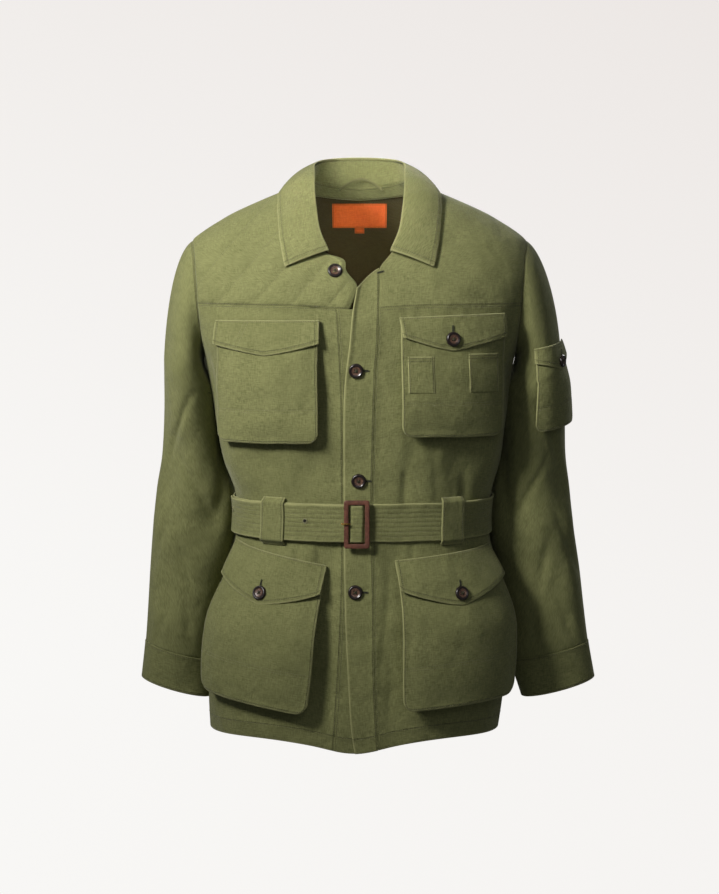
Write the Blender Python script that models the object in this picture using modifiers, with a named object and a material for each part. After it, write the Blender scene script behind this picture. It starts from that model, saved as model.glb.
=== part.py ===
"""Safari jacket, filled out as it is worn, with a bellows pocket on each chest and hip, a belt and a sleeve pocket.

Metres, +Z up. The front faces -Y and the wearer's left is +X. The origin is the middle of the neck's base, where a
wearer's neck and shoulders hold the jacket. Every cloth piece is a closed wall: a smooth surface, worked out from
the tables below, with an outer and an inner skin and a rim.
"""

import math

import bmesh
import bpy
import numpy as np
from mathutils import Vector

# Driving sizes
CLOTH = 0.0015
DOUBLED = 0.0020
SEAM = 0.0003
LIE = 0.0008
HEM_Z = -0.729
HEM_DIP = 0.011
HEM_DIP_ANGLE = 20.0
HEM_LIFT = 0.0060
HEM_START = -0.450
YOKE_Z = -0.131
YOKE_DIP = 0.0045
YOKE_DIP_WIDTH = 0.060
ARMPIT_Z = -0.205
SHOULDER_Z = -0.045
ARMHOLE_FRONT = 0.062
ARMHOLE_BACK = 0.060
SLEEVE_GAP = 0.0015
CAP_OUT = (0.0150, 0.0070)
CAP_FALL = (0.0060, 0.0055)
CAP_BULGE = 0.0040
CAP_RISE = (0.0430, 0.0370)
CAP_TURN_IN = 0.0020
CUFF_RISE = 0.0004
UNDERLAP_SINK = 0.0020
SINK_ANGLES = (6.0, 22.0)
YOKE_SINK_ENDS = (-0.100, -0.060)
UNDERLAP_SINK_ENDS = (-0.105, -0.070)
BUTTON_RADIUS = 0.0100
SMALL_BUTTON_RADIUS = 0.0085
BUTTON_THICK = 0.0034
BUTTON_PROFILE = ((0.0, 0.0024), (0.66, 0.0024), (0.84, BUTTON_THICK), (1.0, 0.0026), (1.0, 0.0), (0.0, 0.0))
BELT_TOP = -0.4005
BELT_BOTTOM = -0.4513
BELT_WALL = 0.0025
BELT_OFFSET = 0.0036
BELT_LAYER = 0.0034
BELT_END_ANGLE = -91.0
BELT_END_TAPER = (5.0, 0.7)
BELT_END_INSET = 0.0006
STRAP_RAISE = 0.0040
STRAP_REACH = 0.0150
BUCKLE_GAP = 0.0014
BUCKLE_EDGE = 0.0006
BUCKLE_CORNER = 0.0030
PRONG_REACH = (-0.0035, 0.0095)
PRONG_GAP = 0.0004
PRONG_RADIUS = 0.0013
PRONG_Z = -0.4253
EYELET_MAJOR = 0.0042
EYELET_MINOR = 0.0008
PLACKET_OFFSET = 0.00035
PLACKET_TOP_FREE = -0.1080
PLACKET_TOP_SEAM = -0.0810
UNDERLAP_TOP = -0.0655
STAND_GAP = (0.0032, 0.0016, 1)
STAND_TOP_GAP = (0.0050, -0.0030, 4)
FALL_LIFT = 0.0044
FLAP_START = 0.0029
FLAP_OPENING = 0.8
FLAP_ROUNDING = 0.12
BAG_SWELL = 0.55
PEN_WALL = 0.0010
BUTTON_GAP = 0.0005
INSIDE_WALL = 0.0010
FACING_ANGLES = (112.0, 248.0)
FACING_TOP = 0.0012
FACING_DEPTH = 0.0130
LABEL_WIDTH = 0.0740
LABEL_LEVELS = (-0.0270, 0.0070)
TAB_WIDTH = 0.0130
TAB_LEVELS = (-0.0350, -0.0275)
LOOP_ENDS = (207.0, 150.0)
LOOP_END_Z = 0.0240
LOOP_RADIUS = 0.0018
LOOP_ARCH = 0.0130
LOOP_BACK = 0.0020
SLEEVE_POCKET_TURNS = (94.0, 10.0)
SLEEVE_BAG_TOP = (-0.2010, -0.1930)
SLEEVE_BAG_LOW = (-0.3060, -0.2970)
SLEEVE_BAG_WIDTH = 0.0800
SLEEVE_BAG_STAND = (0.0034, 0.0104)
SLEEVE_BAG_CORNER = 0.0120
SLEEVE_FLAP_TOP = (-0.1930, -0.1830)
SLEEVE_FLAP_LOW = (-0.2120, -0.2030)
SLEEVE_FLAP_POINT = (0.60, 0.0150)
SLEEVE_FLAP_SIDE = 1.5
SLEEVE_FLAP_LIFT = 0.0082
SLEEVE_BUTTON = (0.60, -0.2110, 0.0088)
EYELETS = {"eyelet_1": (-34.5, -0.4232), "eyelet_2": (-80.0, -0.4180)}

# Levels of the rows of the body's pieces below the armpit, closer together at the waist
BODY_ROWS = (-0.729, -0.690, -0.650, -0.610, -0.565, -0.520, -0.485, -0.4515, -0.426, -0.4005, -0.372, -0.340,
             -0.305, -0.270, -0.235)
ARMHOLE_STEP = 22.5

# Level sections of the body, from the hem up
# z, half width, front depth, back depth, squareness, shift in X
BODY = (
    (-0.760, 0.2010, 0.1460, 0.1360, 2.35, -0.0090),
    (-0.680, 0.2085, 0.1440, 0.1330, 2.35, -0.0050),
    (-0.610, 0.2107, 0.1395, 0.1260, 2.35, -0.0014),
    (-0.520, 0.1967, 0.1290, 0.1130, 2.35, 0.0042),
    (-0.452, 0.1778, 0.1215, 0.1020, 2.30, 0.0045),
    (-0.396, 0.1797, 0.1215, 0.1010, 2.30, 0.0054),
    (-0.350, 0.1940, 0.1245, 0.1070, 2.30, 0.0034),
    (-0.306, 0.2010, 0.1275, 0.1130, 2.35, 0.0020),
    (-0.260, 0.2073, 0.1300, 0.1180, 2.40, 0.0015),
    (-0.230, 0.2118, 0.1315, 0.1200, 2.42, 0.0005),
    (-0.205, 0.2165, 0.1325, 0.1215, 2.45, 0.0),
    (-0.180, 0.2235, 0.1330, 0.1225, 2.50, 0.0),
    (-0.150, 0.2330, 0.1315, 0.1235, 2.50, 0.0),
    (-0.120, 0.2400, 0.1255, 0.1220, 2.50, 0.0),
    (-0.090, 0.2430, 0.1150, 0.1180, 2.45, 0.0),
    (-0.072, 0.2410, 0.1070, 0.1140, 2.40, 0.0),
    (-0.055, 0.2365, 0.0985, 0.1090, 2.30, 0.0),
    (-0.042, 0.2290, 0.0920, 0.1040, 2.20, 0.0),
    (-0.031, 0.2150, 0.0860, 0.0980, 2.15, 0.0),
    (-0.019, 0.1960, 0.0790, 0.0910, 2.10, 0.0),
    (-0.008, 0.1770, 0.0720, 0.0840, 2.05, 0.0),
    (0.003, 0.1535, 0.0660, 0.0770, 2.00, 0.0),
    (0.0136, 0.1290, 0.0600, 0.0700, 2.00, 0.0),
    (0.030, 0.0900, 0.0520, 0.0610, 2.00, 0.0),
    (0.0415, 0.0670, 0.0470, 0.0560, 2.00, 0.0),
    (0.060, 0.0400, 0.0400, 0.0480, 2.00, 0.0),
)

# Soft folds of the body, troughs below nought and ridges above
# angle, z of the middle, degrees leaned per metre, half width in degrees, half length, depth
FOLDS = (
    (-52.0, -0.350, 60.0, 7.0, 0.075, -0.0040),
    (-33.0, -0.362, -40.0, 6.5, 0.060, -0.0035),
    (-68.0, -0.335, 30.0, 8.0, 0.090, 0.0035),
    (30.0, -0.352, 50.0, 7.0, 0.075, -0.0035),
    (52.0, -0.345, -60.0, 7.5, 0.080, -0.0042),
    (70.0, -0.330, -20.0, 7.0, 0.085, 0.0035),
    (-24.0, -0.495, 50.0, 6.5, 0.055, -0.0040),
    (22.0, -0.500, -50.0, 6.5, 0.060, -0.0035),
    (-20.0, -0.650, -30.0, 7.0, 0.110, -0.0035),
    (21.0, -0.660, 20.0, 7.5, 0.110, -0.0030),
    (-84.0, -0.520, 0.0, 7.0, 0.080, -0.0040),
    (84.0, -0.520, 0.0, 7.0, 0.080, -0.0040),
    (110.0, -0.350, 40.0, 8.0, 0.080, -0.0040),
    (138.0, -0.345, -30.0, 7.5, 0.085, -0.0042),
    (163.0, -0.352, 30.0, 7.0, 0.075, -0.0036),
    (190.0, -0.345, -30.0, 7.5, 0.080, -0.0040),
    (217.0, -0.352, 30.0, 7.0, 0.080, -0.0038),
    (246.0, -0.350, -40.0, 8.0, 0.085, -0.0042),
    (120.0, -0.520, -30.0, 8.0, 0.070, -0.0036),
    (150.0, -0.530, 30.0, 8.5, 0.085, -0.0042),
    (178.0, -0.520, 0.0, 8.0, 0.080, -0.0036),
    (208.0, -0.530, -30.0, 8.5, 0.080, -0.0042),
    (238.0, -0.520, 30.0, 8.0, 0.075, -0.0036),
)

# The neck seam from the middle of the back round to the collar's front end
# turn, angle, z
NECK = (
    (0.00, 180.0, 0.0260),
    (0.15, 150.0, 0.0290),
    (0.30, 118.0, 0.0355),
    (0.42, 90.0, 0.0415),
    (0.55, 64.0, 0.0310),
    (0.66, 53.5, 0.0120),
    (0.77, 46.0, -0.0100),
    (0.90, 37.2, -0.0330),
    (1.00, 23.1, -0.0610),
)

# The collar's fold, where stand and fall meet, and the fall's outer edge on the body
# turn, fold x, fold y, fold z, edge angle, edge z, roundness of the fall
COLLAR = (
    (0.00, 0.0000, 0.0620, 0.0705, 180.0, 0.0040, 0.012),
    (0.15, 0.0310, 0.0580, 0.0695, 152.0, 0.0040, 0.012),
    (0.30, 0.0545, 0.0360, 0.0660, 120.0, 0.0115, 0.011),
    (0.42, 0.0625, 0.0080, 0.0605, 90.0, 0.0232, 0.010),
    (0.55, 0.0622, -0.0220, 0.0480, 72.0, 0.0105, 0.010),
    (0.66, 0.0618, -0.0470, 0.0290, 62.0, -0.0100, 0.010),
    (0.77, 0.0592, -0.0740, 0.0030, 55.3, -0.0300, 0.010),
    (0.88, 0.0540, -0.0940, -0.0280, 49.0, -0.0550, 0.008),
    (1.00, 0.0420, -0.1070, -0.0560, 43.5, -0.0800, 0.006),
)

# The neckline from the yoke seam up to the neck point, on the left and the right front
# share of the way, angle, z
NECKLINE_LEFT = (
    (0.00, 11.6, -0.1355),
    (0.25, 13.0, -0.1000),
    (0.38, 14.3, -0.0800),
    (0.50, 23.1, -0.0610),
    (0.62, 37.2, -0.0330),
    (0.72, 46.0, -0.0100),
    (0.82, 53.5, 0.0120),
    (0.91, 64.0, 0.0310),
    (1.00, 90.0, 0.0415),
)
NECKLINE_RIGHT = (
    (0.00, 13.1, -0.1355),
    (0.13, 15.3, -0.1180),
    (0.25, 18.2, -0.1000),
    (0.34, 20.9, -0.0840),
    (0.44, 22.9, -0.0680),
    (0.50, 23.6, -0.0610),
    (0.62, 37.2, -0.0330),
    (0.72, 46.0, -0.0100),
    (0.82, 53.5, 0.0120),
    (0.91, 64.0, 0.0310),
    (1.00, 90.0, 0.0415),
)

# The placket on the left front, from the hem up: z, free edge x, seam x
PLACKET = (
    (-0.745, -0.0025, 0.0265),
    (-0.710, -0.0087, 0.0245),
    (-0.630, -0.0148, 0.0207),
    (-0.545, -0.0190, 0.0200),
    (-0.380, -0.0208, 0.0175),
    (-0.306, -0.0208, 0.0192),
    (-0.257, -0.0204, 0.0205),
    (-0.222, -0.0180, 0.0215),
    (-0.186, -0.0133, 0.0245),
    (-0.138, -0.0087, 0.0258),
    (-0.107, -0.0034, 0.0260),
    (-0.080, 0.0010, 0.0262),
)

# The underlap on the right front, from the hem up: z, seam x, free edge x
UNDERLAP = (
    (-0.745, -0.0360, 0.0180),
    (-0.660, -0.0300, 0.0180),
    (-0.545, -0.0235, 0.0160),
    (-0.380, -0.0225, 0.0140),
    (-0.215, -0.0245, 0.0160),
    (-0.177, -0.0268, 0.0180),
    (-0.135, -0.0294, 0.0140),
    (-0.106, -0.0362, 0.0000),
    (-0.084, -0.0418, -0.0180),
    (-0.066, -0.0430, -0.0240),
)

# Level sections of the sleeves, from the wrist up
# z, left inner x, left outer x, right inner x, right outer x, middle y, half depth, rise of the outer side
SLEEVE = (
    (-0.681, 0.2335, 0.3360, 0.2140, 0.3115, 0.0290, 0.0390, 0.0140),
    (-0.628, 0.2165, 0.3268, 0.2130, 0.3058, 0.0320, 0.0450, 0.0130),
    (-0.570, 0.2065, 0.3200, 0.2040, 0.3020, 0.0360, 0.0510, 0.0090),
    (-0.520, 0.1995, 0.3147, 0.1910, 0.2993, 0.0400, 0.0560, 0.0060),
    (-0.452, 0.1835, 0.3042, 0.1755, 0.2934, 0.0360, 0.0600, 0.0040),
    (-0.400, 0.1855, 0.2968, 0.1760, 0.2862, 0.0350, 0.0640, 0.0040),
    (-0.350, 0.1970, 0.2921, 0.1905, 0.2795, 0.0340, 0.0680, 0.0060),
    (-0.300, 0.2040, 0.2900, 0.2005, 0.2758, 0.0280, 0.0720, 0.0120),
    (-0.235, 0.2125, 0.2828, 0.2120, 0.2743, 0.0160, 0.0760, 0.0260),
)
CUFF_SEAM_Z = -0.628
CUFF_END_Z = -0.681
CAP_Z = -0.235

# Soft folds of the sleeves: turn from the outer side towards the front, z, lean, half width, half length, depth
SLEEVE_FOLDS = (
    (60.0, -0.360, 500.0, 20.0, 0.090, -0.0050),
    (25.0, -0.430, -300.0, 18.0, 0.080, 0.0035),
    (110.0, -0.440, 400.0, 20.0, 0.080, -0.0045),
    (70.0, -0.530, -200.0, 18.0, 0.070, -0.0035),
    (250.0, -0.400, 400.0, 22.0, 0.090, -0.0045),
    (300.0, -0.480, -300.0, 20.0, 0.080, -0.0040),
)

# Bellows pockets: side, top inner and outer angle, bottom inner and outer angle,
# top inner and outer z, bottom inner and outer z, stand-off at the top and at the bottom, corner radius
POCKETS = {
    "chest_bag_right": (-1, 22.8, 65.2, 24.6, 71.0, -0.163, -0.163, -0.3140, -0.3160, 0.0041, 0.0135, 0.014),
    "chest_bag_left": (1, 23.0, 66.4, 23.6, 69.8, -0.159, -0.156, -0.3050, -0.3080, 0.0042, 0.0130, 0.014),
    "lower_bag_right": (-1, 23.4, 75.5, 25.6, 71.6, -0.492, -0.473, -0.6850, -0.6620, 0.0034, 0.0230, 0.016),
    "lower_bag_left": (1, 21.4, 76.4, 25.0, 73.4, -0.489, -0.477, -0.6800, -0.6680, 0.0034, 0.0220, 0.016),
}

# Flaps: side, inner and outer angle at the top, inner and outer angle at the bottom, top inner and outer z,
# bottom inner and outer z, share of the way out and z of the point, stand-off at the bottom
FLAPS = {
    "chest_flap_right": (-1, 22.6, 65.5, 22.4, 66.8, -0.1505, -0.1516, -0.1809, -0.1819, 0.55, -0.1965, 0.0105),
    "chest_flap_left": (1, 22.4, 66.2, 24.0, 66.4, -0.1472, -0.1420, -0.1720, -0.1717, 0.52, -0.1899, 0.0105),
    "lower_flap_right": (-1, 22.4, 77.0, 23.8, 73.6, -0.4850, -0.4590, -0.5246, -0.5079, 0.56, -0.5408, 0.0165),
    "lower_flap_left": (1, 20.0, 75.6, 21.4, 74.0, -0.4779, -0.4650, -0.5178, -0.5094, 0.55, -0.5407, 0.0165),
}

# Pen pockets on the left chest bag: share of its width from and to, share of its height from and to
PEN_POCKETS = {
    "pen_pocket_inner": (0.07, 0.34, 0.27, 0.60),
    "pen_pocket_outer": (0.66, 0.93, 0.25, 0.60),
}

# Front buttons: x, z, which layer they are sewn on
FRONT_BUTTONS = {
    "button_front_1": (-0.0330, -0.0842, "underlap"),
    "button_front_2": (-0.0047, -0.2178, "placket"),
    "button_front_3": (-0.0012, -0.3680, "placket"),
    "button_front_4": (-0.0057, -0.5202, "placket"),
}

# Flap buttons: flap, share of its width, z
FLAP_BUTTONS = {
    "button_chest_left": ("chest_flap_left", 0.52, -0.1755),
    "button_lower_right": ("lower_flap_right", 0.56, -0.5230),
    "button_lower_left": ("lower_flap_left", 0.55, -0.5230),
}

BELT_LOOPS = {"belt_loop_front_right": -51.4, "belt_loop_front_left": 51.3,
              "belt_loop_back_right": 212.0, "belt_loop_back_left": 148.0}
LOOP_HALF_WIDTH = 0.0170
LOOP_TOP = -0.3935
LOOP_BOTTOM = -0.4580

BUCKLE_X = -0.0035
BUCKLE_Z = -0.4265
BUCKLE_WIDTH = 0.0350
BUCKLE_HEIGHT = 0.0660
BUCKLE_BAR = 0.0065
BUCKLE_THICK = 0.0045

# Colours: red, green, blue, roughness, metallic
FINISHES = {
    "olive_cloth": (0.165, 0.185, 0.078, 0.88, 0.0),
    "horn": (0.045, 0.024, 0.016, 0.38, 0.0),
    "leather": (0.125, 0.042, 0.024, 0.55, 0.0),
    "brass": (0.600, 0.380, 0.120, 0.35, 0.9),
    "label_cloth": (0.560, 0.105, 0.020, 0.75, 0.0),
}

for old in list(bpy.data.objects):
    bpy.data.objects.remove(old, do_unlink=True)

jacket = bpy.data.collections.new("safari_jacket")
bpy.context.scene.collection.children.link(jacket)


def finish_of(name, finish):
    """A material of the piece's own, in one of the jacket's finishes."""
    red, green, blue, rough, metal = FINISHES[finish]
    material = bpy.data.materials.new(name + "_finish")
    material.use_nodes = True
    shader = material.node_tree.nodes["Principled BSDF"]
    shader.inputs["Base Color"].default_value = (red, green, blue, 1.0)
    shader.inputs["Roughness"].default_value = rough
    shader.inputs["Metallic"].default_value = metal
    return material


def add_object(name, vertices, faces, finish):
    """One closed body from its points and faces, with its faces turned outwards and its round parts smooth."""
    mesh = bpy.data.meshes.new(name)
    mesh.from_pydata(np.asarray(vertices).tolist(), [], np.asarray(faces).tolist())
    skin = bmesh.new()
    skin.from_mesh(mesh)
    bmesh.ops.recalc_face_normals(skin, faces=skin.faces)
    skin.to_mesh(mesh)
    skin.free()
    mesh.materials.append(finish_of(name, finish))
    mesh.shade_smooth()
    mesh.set_sharp_from_angle(angle=math.radians(40.0))
    piece = bpy.data.objects.new(name, mesh)
    jacket.objects.link(piece)
    return piece


def smooth(table, column, at):
    """A smooth curve through one column of a table whose first column rises: cubic pieces whose slopes come from
    the neighbouring rows."""
    knots = np.array([row[0] for row in table], dtype=float)
    values = np.array([row[column] for row in table], dtype=float)
    slopes = np.gradient(values, knots)
    at = np.clip(np.asarray(at, dtype=float), knots[0], knots[-1])
    i = np.clip(np.searchsorted(knots, at, side="right") - 1, 0, len(knots) - 2)
    span = knots[i + 1] - knots[i]
    t = (at - knots[i]) / span
    start = (1 + 2 * t) * (1 - t) ** 2 * values[i] + t * (1 - t) ** 2 * span * slopes[i]
    end = t * t * (3 - 2 * t) * values[i + 1] + t * t * (t - 1) * span * slopes[i + 1]
    return start + end


def ease(low, high, at):
    """A smooth step from 0 at LOW to 1 at HIGH."""
    t = np.clip((np.asarray(at, dtype=float) - low) / (high - low), 0.0, 1.0)
    return t * t * (3 - 2 * t)


def fold_sum(folds, angle, z):
    """The height that all the folds give: each is a bell across, and fades to nothing at its two ends."""
    total = np.zeros(np.broadcast(angle, z).shape)
    for middle, level, lean, half_width, half_length, depth in folds:
        across = angle - middle - lean * (z - level)
        across = (across + 180.0) % 360.0 - 180.0
        along = np.clip((z - level) / half_length, -1.0, 1.0)
        total += depth * np.exp(-((across / half_width) ** 2)) * (1 - along * along) ** 2
    return total


def body(angle, z):
    """The body cloth's middle at ANGLE in degrees, 0 at the front, 90 at the wearer's left and 180 at the back: a
    level superellipse, whose size the BODY table gives, with the folds added to its radius."""
    angle, z = np.broadcast_arrays(np.asarray(angle, dtype=float), np.asarray(z, dtype=float))
    half, front, back, power, shift = (smooth(BODY, column, z) for column in range(1, 6))
    s, c = np.sin(np.radians(angle)), np.cos(np.radians(angle))
    depth = np.where(c > 0, front, back)
    radius = (np.abs(s / half) ** power + np.abs(c / depth) ** power) ** (-1 / power)
    radius = radius + fold_sum(FOLDS, angle, z)
    return np.stack([shift + radius * s, -radius * c, z], axis=-1)


def across(surface, u, v, step_u, step_v):
    """The surface's outward direction: the cross product of its two slopes."""
    du = surface(u + step_u, v) - surface(u - step_u, v)
    dv = surface(u, v + step_v) - surface(u, v - step_v)
    normal = np.cross(du, dv)
    return normal / np.linalg.norm(normal, axis=-1, keepdims=True)


def on_body(angle, z, offset):
    """A point OFFSET outside the body cloth's middle."""
    return body(angle, z) + across(body, angle, z, 0.5, 0.002) * np.asarray(offset, dtype=float)[..., None]


def angle_at(x, z):
    """The front angle at which the body has this x."""
    x, z = np.broadcast_arrays(np.asarray(x, dtype=float), np.asarray(z, dtype=float))
    half, front, power, shift = (smooth(BODY, column, z) for column in (1, 2, 4, 5))
    share = np.clip(np.abs((x - shift) / half), 0.0, 0.999)
    depth = front * (1 - share ** power) ** (1 / power)
    return np.degrees(np.arctan2(x - shift, depth))


def wall_faces(rows, columns, ring):
    """The faces of a closed wall of two grids, outer then inner, and the rim between them."""
    count = rows * columns
    out = np.arange(count).reshape(rows, columns)
    if ring:
        out = np.concatenate([out, out[:, :1]], axis=1)
    back = out + count

    def quads(a, b, c, d):
        return np.stack([a, b, c, d], axis=-1).reshape(-1, 4)

    faces = [quads(out[:-1, :-1], out[:-1, 1:], out[1:, 1:], out[1:, :-1]),
             quads(back[:-1, :-1], back[1:, :-1], back[1:, 1:], back[:-1, 1:]),
             quads(out[0, 1:], out[0, :-1], back[0, :-1], back[0, 1:]),
             quads(out[-1, :-1], out[-1, 1:], back[-1, 1:], back[-1, :-1])]
    if not ring:
        faces.append(quads(out[:-1, 0], out[1:, 0], back[1:, 0], back[:-1, 0]))
        faces.append(quads(out[1:, -1], out[:-1, -1], back[:-1, -1], back[1:, -1]))
    return np.concatenate(faces)


def wall(name, outer, inner, finish, ring=False):
    """A closed wall between two skins, each a grid of points whose rows run up and columns to the left."""
    rows, columns = outer.shape[:2]
    vertices = np.concatenate([outer.reshape(-1, 3), inner.reshape(-1, 3)])
    return add_object(name, vertices, wall_faces(rows, columns, ring), finish)


def body_wall(name, angle, z, offset, thick, finish, ring=False):
    """A wall that follows the body, its middle OFFSET outside the body cloth's middle."""
    return wall(name, on_body(angle, z, offset + thick / 2), on_body(angle, z, offset - thick / 2), finish, ring)


def hem_z(angle):
    """The hem's level, which dips at the front edge and lifts a little under the hip pockets."""
    turn = np.abs((np.asarray(angle) + 180.0) % 360.0 - 180.0)
    return HEM_Z - HEM_DIP * np.exp(-((turn / HEM_DIP_ANGLE) ** 2)) + HEM_LIFT * np.exp(-(((turn - 48.0) / 26.0) ** 2))


def armhole_depth(z, reach):
    """Half the armhole's depth at z: an ellipse from the armpit to the shoulder point."""
    middle, half = (SHOULDER_Z + ARMPIT_Z) / 2, (SHOULDER_Z - ARMPIT_Z) / 2
    return reach * np.sqrt(np.clip(1 - ((z - middle) / half) ** 2, 0.0, 1.0))


def armhole_angle(z, front=True):
    """The angle of the armhole's edge on the wearer's left, front or back; 90 above and below the armhole."""
    half, power = smooth(BODY, 1, z), smooth(BODY, 4, z)
    depth = smooth(BODY, 2 if front else 3, z)
    reach = armhole_depth(z, ARMHOLE_FRONT if front else ARMHOLE_BACK)
    x = half * (1 - np.clip(reach / depth, 0.0, 0.99) ** power) ** (1 / power)
    return np.degrees(np.arctan2(x, reach)) if front else np.degrees(np.arctan2(x, -reach))


def degrees_for(length, angle, z):
    """The angle that LENGTH takes along the level section at this place."""
    step = 0.5
    reach = np.linalg.norm(body(angle + step, z) - body(angle - step, z), axis=-1) / (2 * step)
    return length / reach


def spaced(start, stop, count):
    """COUNT values, evenly apart."""
    return np.linspace(start, stop, count)


def armhole_rows(low, high, step):
    """Levels on the armhole from LOW to HIGH, at every STEP degrees round it, so that its edge has the same corners
    as the sleeve's."""
    middle, half = (SHOULDER_Z + ARMPIT_Z) / 2, (SHOULDER_Z - ARMPIT_Z) / 2
    levels = middle + half * np.cos(np.radians(np.arange(180.0, -1.0, -step)))
    inside = levels[(levels > low + 0.001) & (levels < high - 0.001)]
    return np.concatenate([[low], inside, [high]])


def yoke_dip(angle, level):
    """How far the yoke seam dips below its level near the front edges."""
    return YOKE_DIP * np.exp(-((body(angle, level)[..., 0] / YOKE_DIP_WIDTH) ** 2))


def front_panel(name, side, table, edge_column, columns, sink):
    """A front from its seam at the placket or underlap to the side seam and armhole, hem to yoke seam."""
    top = YOKE_Z - SEAM / 2
    level = np.concatenate([BODY_ROWS, armhole_rows(ARMPIT_Z, top, ARMHOLE_STEP)])[:, None]
    share = spaced(0.0, 1.0, columns)[None, :]
    edge_x = smooth(table, edge_column, level) + side * SEAM / 2
    inner = angle_at(edge_x, level)
    outer = side * armhole_angle(level)
    outer = outer - side * degrees_for(SEAM / 2, outer, level)
    angle = inner + (outer - inner) * share
    z = level + (hem_z(angle) - HEM_Z) * ease(HEM_START, HEM_Z, level)
    z = z - yoke_dip(angle, level) * ease(ARMPIT_Z, top, level)
    offset = -sink * (1 - ease(*SINK_ANGLES, np.abs(angle - inner)))
    if side < 0:
        angle, z, offset = angle[:, ::-1], z[:, ::-1], offset[:, ::-1]
    body_wall(name, angle, z, offset, CLOTH, "olive_cloth")


def edges_patch(bottom, top, left, right):
    """A patch between four edges, each an array of (angle, z): both lofts added, less the corners' blend."""
    s = spaced(0.0, 1.0, len(bottom))[None, :, None]
    t = spaced(0.0, 1.0, len(left))[:, None, None]
    corners = ((1 - s) * (1 - t) * bottom[0] + s * (1 - t) * bottom[-1] + (1 - s) * t * top[0] + s * t * top[-1])
    return (1 - t) * bottom[None] + t * top[None] + (1 - s) * left[:, None] + s * right[:, None] - corners


def yoke(name, side, neckline, sink):
    """A front yoke: yoke seam below, shoulder seam above, neckline and armhole at its sides."""
    low = YOKE_Z + SEAM / 2
    levels = armhole_rows(low, SHOULDER_Z, ARMHOLE_STEP / 2)
    columns, way = 9, spaced(0.0, 1.0, len(levels))
    left = np.stack([smooth(neckline, 1, way), smooth(neckline, 2, way)], axis=-1)
    right = np.stack([armhole_angle(levels), levels], axis=-1)
    right[:-1, 0] -= degrees_for(SEAM / 2, right[:-1, 0], levels[:-1])
    angle = spaced(left[0, 0], right[0, 0], columns)
    bottom = np.stack([angle, low - yoke_dip(angle, low)], axis=-1)
    left[0], right[0] = bottom[0], bottom[-1]
    ridge_z = spaced(neckline[-1][2], SHOULDER_Z, columns)
    ridge = 90.0 - degrees_for(SEAM / 2, 90.0, ridge_z)
    top = np.stack([ridge, ridge_z], axis=-1)
    left[-1], right[-1] = top[0], top[-1]
    patch = edges_patch(bottom, top, left, right)
    angle, z = side * patch[..., 0], patch[..., 1]
    offset = -sink * (1 - ease(*SINK_ANGLES, np.abs(angle) - left[0, 0])) * (1 - ease(*YOKE_SINK_ENDS, z))
    if side < 0:
        angle, z, offset = angle[:, ::-1], z[:, ::-1], offset[:, ::-1]
    body_wall(name, angle, z, offset, CLOTH, "olive_cloth")


def neck_level(angle):
    """The neck seam's level on the back, by angle."""
    table = [(180.0 - row[1], row[2]) for row in NECK if row[1] >= 90.0]
    return smooth(table, 1, np.abs(180.0 - np.asarray(angle)))


def back_panel():
    """The back, side seam to side seam, hem to neck, over the shoulder blades to the shoulder seams."""
    shoulder_neck_z = NECK[3][2]
    levels = np.concatenate([BODY_ROWS, armhole_rows(ARMPIT_Z, SHOULDER_Z, ARMHOLE_STEP)[:-1],
                             spaced(SHOULDER_Z, shoulder_neck_z, 6)])[:, None]
    share = spaced(0.0, 1.0, 19)[None, :]
    start = armhole_angle(levels, front=False)
    start = np.where((levels < ARMPIT_Z) | (levels > SHOULDER_Z), 90.0, start)
    start = start + degrees_for(SEAM / 2, start, levels)
    angle = start + (360.0 - 2 * start) * share
    top = neck_level(90.0 + 180.0 * share)
    z = HEM_Z + (levels - HEM_Z) * (top - HEM_Z) / (shoulder_neck_z - HEM_Z)
    z = z + (hem_z(angle) - HEM_Z) * ease(HEM_START, HEM_Z, levels)
    body_wall("back", angle, z, 0.0, CLOTH, "olive_cloth")


def placket():
    """The doubled strip on the left front, cut slanting at the neckline, over the underlap."""
    share = spaced(0.0, 1.0, 5)[None, :]
    rows = np.concatenate([BODY_ROWS, spaced(ARMPIT_Z, PLACKET_TOP_FREE, 5)])[:, None]
    top = PLACKET_TOP_FREE + (PLACKET_TOP_SEAM - PLACKET_TOP_FREE) * share
    z = rows + (top - PLACKET_TOP_FREE) * ease(ARMPIT_Z, PLACKET_TOP_FREE, rows)
    free, seam = smooth(PLACKET, 1, z), smooth(PLACKET, 2, z) - SEAM / 2
    angle = angle_at(free + (seam - free) * share, z)
    z = z + (hem_z(angle) - HEM_Z) * ease(HEM_START, HEM_Z, z)
    body_wall("placket", angle, z, PLACKET_OFFSET, DOUBLED, "olive_cloth")


def underlap_sink(z):
    """How far the underlap's strip lies inside the body's own surface: under the placket, but not in the neck."""
    return UNDERLAP_SINK * (1 - ease(*UNDERLAP_SINK_ENDS, z))


def underlap():
    """The right front's own edge strip, which lies under the placket and shows in the neck."""
    share = spaced(0.0, 1.0, 5)[None, :]
    z = np.concatenate([BODY_ROWS, spaced(ARMPIT_Z, UNDERLAP_TOP, 8)])[:, None]
    seam, free = smooth(UNDERLAP, 1, z) + SEAM / 2, smooth(UNDERLAP, 2, z)
    angle = angle_at(seam + (free - seam) * share, z)
    offset = -underlap_sink(z)
    z = z + (hem_z(angle) - HEM_Z) * ease(HEM_START, HEM_Z, z)
    body_wall("underlap", angle, z, offset, CLOTH, "olive_cloth")


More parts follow.
